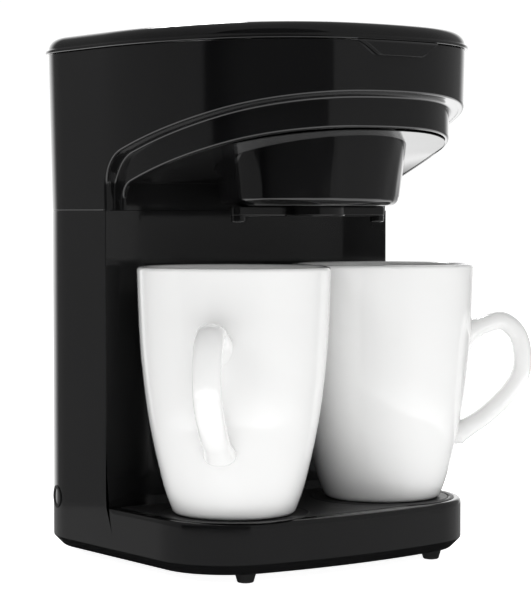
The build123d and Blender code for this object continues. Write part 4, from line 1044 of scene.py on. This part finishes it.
area("key", 262.0, 30.0, 1.8, 0.7, 5.5, in_gloss=False)
area("fill_front", 200.0, 30.0, 1.8, 1.3, 8, in_gloss=False)
area("fill_right", 140.0, 35.0, 1.8, 1.2, 4, in_gloss=False)
area("top_box", 36.0, 86.0, 1.9, 1.6, 9, in_gloss=False)
area("spark", 24.0, 40.0, 1.6, 0.3, 3, 0.4)


def card(name, inner, outer, level):
    """Ring on the floor round the base that only polished surfaces see."""
    b = Builder()
    b.grid([ring(BASE, grow, 0.5, 6.0) for grow in (inner, outer)], close_u=True)
    mesh = bpy.data.meshes.new(name)
    mesh.from_pydata(metres(b.verts), [], b.faces)
    obj = bpy.data.objects.new(name, mesh)
    bpy.context.scene.collection.objects.link(obj)
    mesh.materials.append(glowing(name, 0.02, 0.9, level))
    for kind in ("camera", "diffuse", "shadow", "transmission"):
        setattr(obj, f"visible_{kind}", False)


card("shadow_card", -30.0, 16.0, 0.0)      # the machine's own shadow, seen in its lower edge
card("paper_card", 16.0, 150.0, 0.24)      # the lit paper next to it


def world():
    """Studio round the machine: white paper beyond it, grey boards to its left and behind,
    and black cloth in front. The backdrop itself is seen as plain white from everywhere."""
    w = bpy.data.worlds.new("studio")
    bpy.context.scene.world = w
    w.use_nodes = True
    tree = w.node_tree
    tree.nodes.clear()
    link = tree.links.new
    out = tree.nodes.new("ShaderNodeOutputWorld")
    coord = tree.nodes.new("ShaderNodeTexCoord")

    def band(way, low, high, level):
        """Brightness that goes from nothing to its level as a direction comes near another."""
        dot = tree.nodes.new("ShaderNodeVectorMath")
        dot.operation = "DOT_PRODUCT"
        dot.inputs[1].default_value = way
        link(coord.outputs["Generated"], dot.inputs[0])
        ramp = tree.nodes.new("ShaderNodeMapRange")
        ramp.interpolation_type = "SMOOTHSTEP"
        ramp.inputs["From Min"].default_value = low
        ramp.inputs["From Max"].default_value = high
        ramp.inputs["To Min"].default_value = 0.0
        ramp.inputs["To Max"].default_value = level
        link(dot.outputs["Value"], ramp.inputs["Value"])
        return ramp.outputs["Result"]

    def toward(azimuth):
        a = math.radians(azimuth)
        return math.sin(a), math.cos(a), 0.0

    def add(first, second):
        math_node = tree.nodes.new("ShaderNodeMath")
        math_node.operation = "ADD"
        link(first, math_node.inputs[0])
        link(second, math_node.inputs[1])
        return math_node.outputs[0]

    grey, black = 0.24, 0.03
    cloth = band(toward(231.5), 0.635, 0.665, black - grey)
    total = band(toward(56.0), -2.0, -1.5, grey)
    for part in (cloth, band(toward(320.0), 0.3, 0.9, -0.07), band(toward(30.0), 0.72, 0.95, 1.15),
                 band((0.0, 0.0, -1.0), 0.25, 0.42, 1.6)):
        total = add(total, part)
    lit = tree.nodes.new("ShaderNodeBackground")
    link(total, lit.inputs["Strength"])
    lit.inputs["Color"].default_value = (1, 1, 1, 1)
    paper = tree.nodes.new("ShaderNodeBackground")
    paper.inputs["Color"].default_value = (1, 1, 1, 1)
    paper.inputs["Strength"].default_value = 1.05
    seen = tree.nodes.new("ShaderNodeLightPath")
    mix = tree.nodes.new("ShaderNodeMixShader")
    link(seen.outputs["Is Camera Ray"], mix.inputs[0])
    link(lit.outputs[0], mix.inputs[1])
    link(paper.outputs[0], mix.inputs[2])
    link(mix.outputs[0], out.inputs[0])


world()
bpy.context.scene.view_settings.view_transform = "Standard"


def camera():
    """Camera as it was solved from the photograph."""
    data = bpy.data.cameras.new("camera")
    data.sensor_fit = "VERTICAL"
    data.sensor_height = SENSOR
    data.lens = LENS
    data.clip_start, data.clip_end = 0.05, 50
    obj = bpy.data.objects.new("camera", data)
    obj.location = EYE
    a, p = FORWARD, DOWN
    look = Vector((math.sin(a) * math.cos(p), math.cos(a) * math.cos(p), -math.sin(p)))
    obj.rotation_euler = look.to_track_quat("-Z", "Y").to_euler()
    bpy.context.scene.collection.objects.link(obj)
    bpy.context.scene.camera = obj


camera()
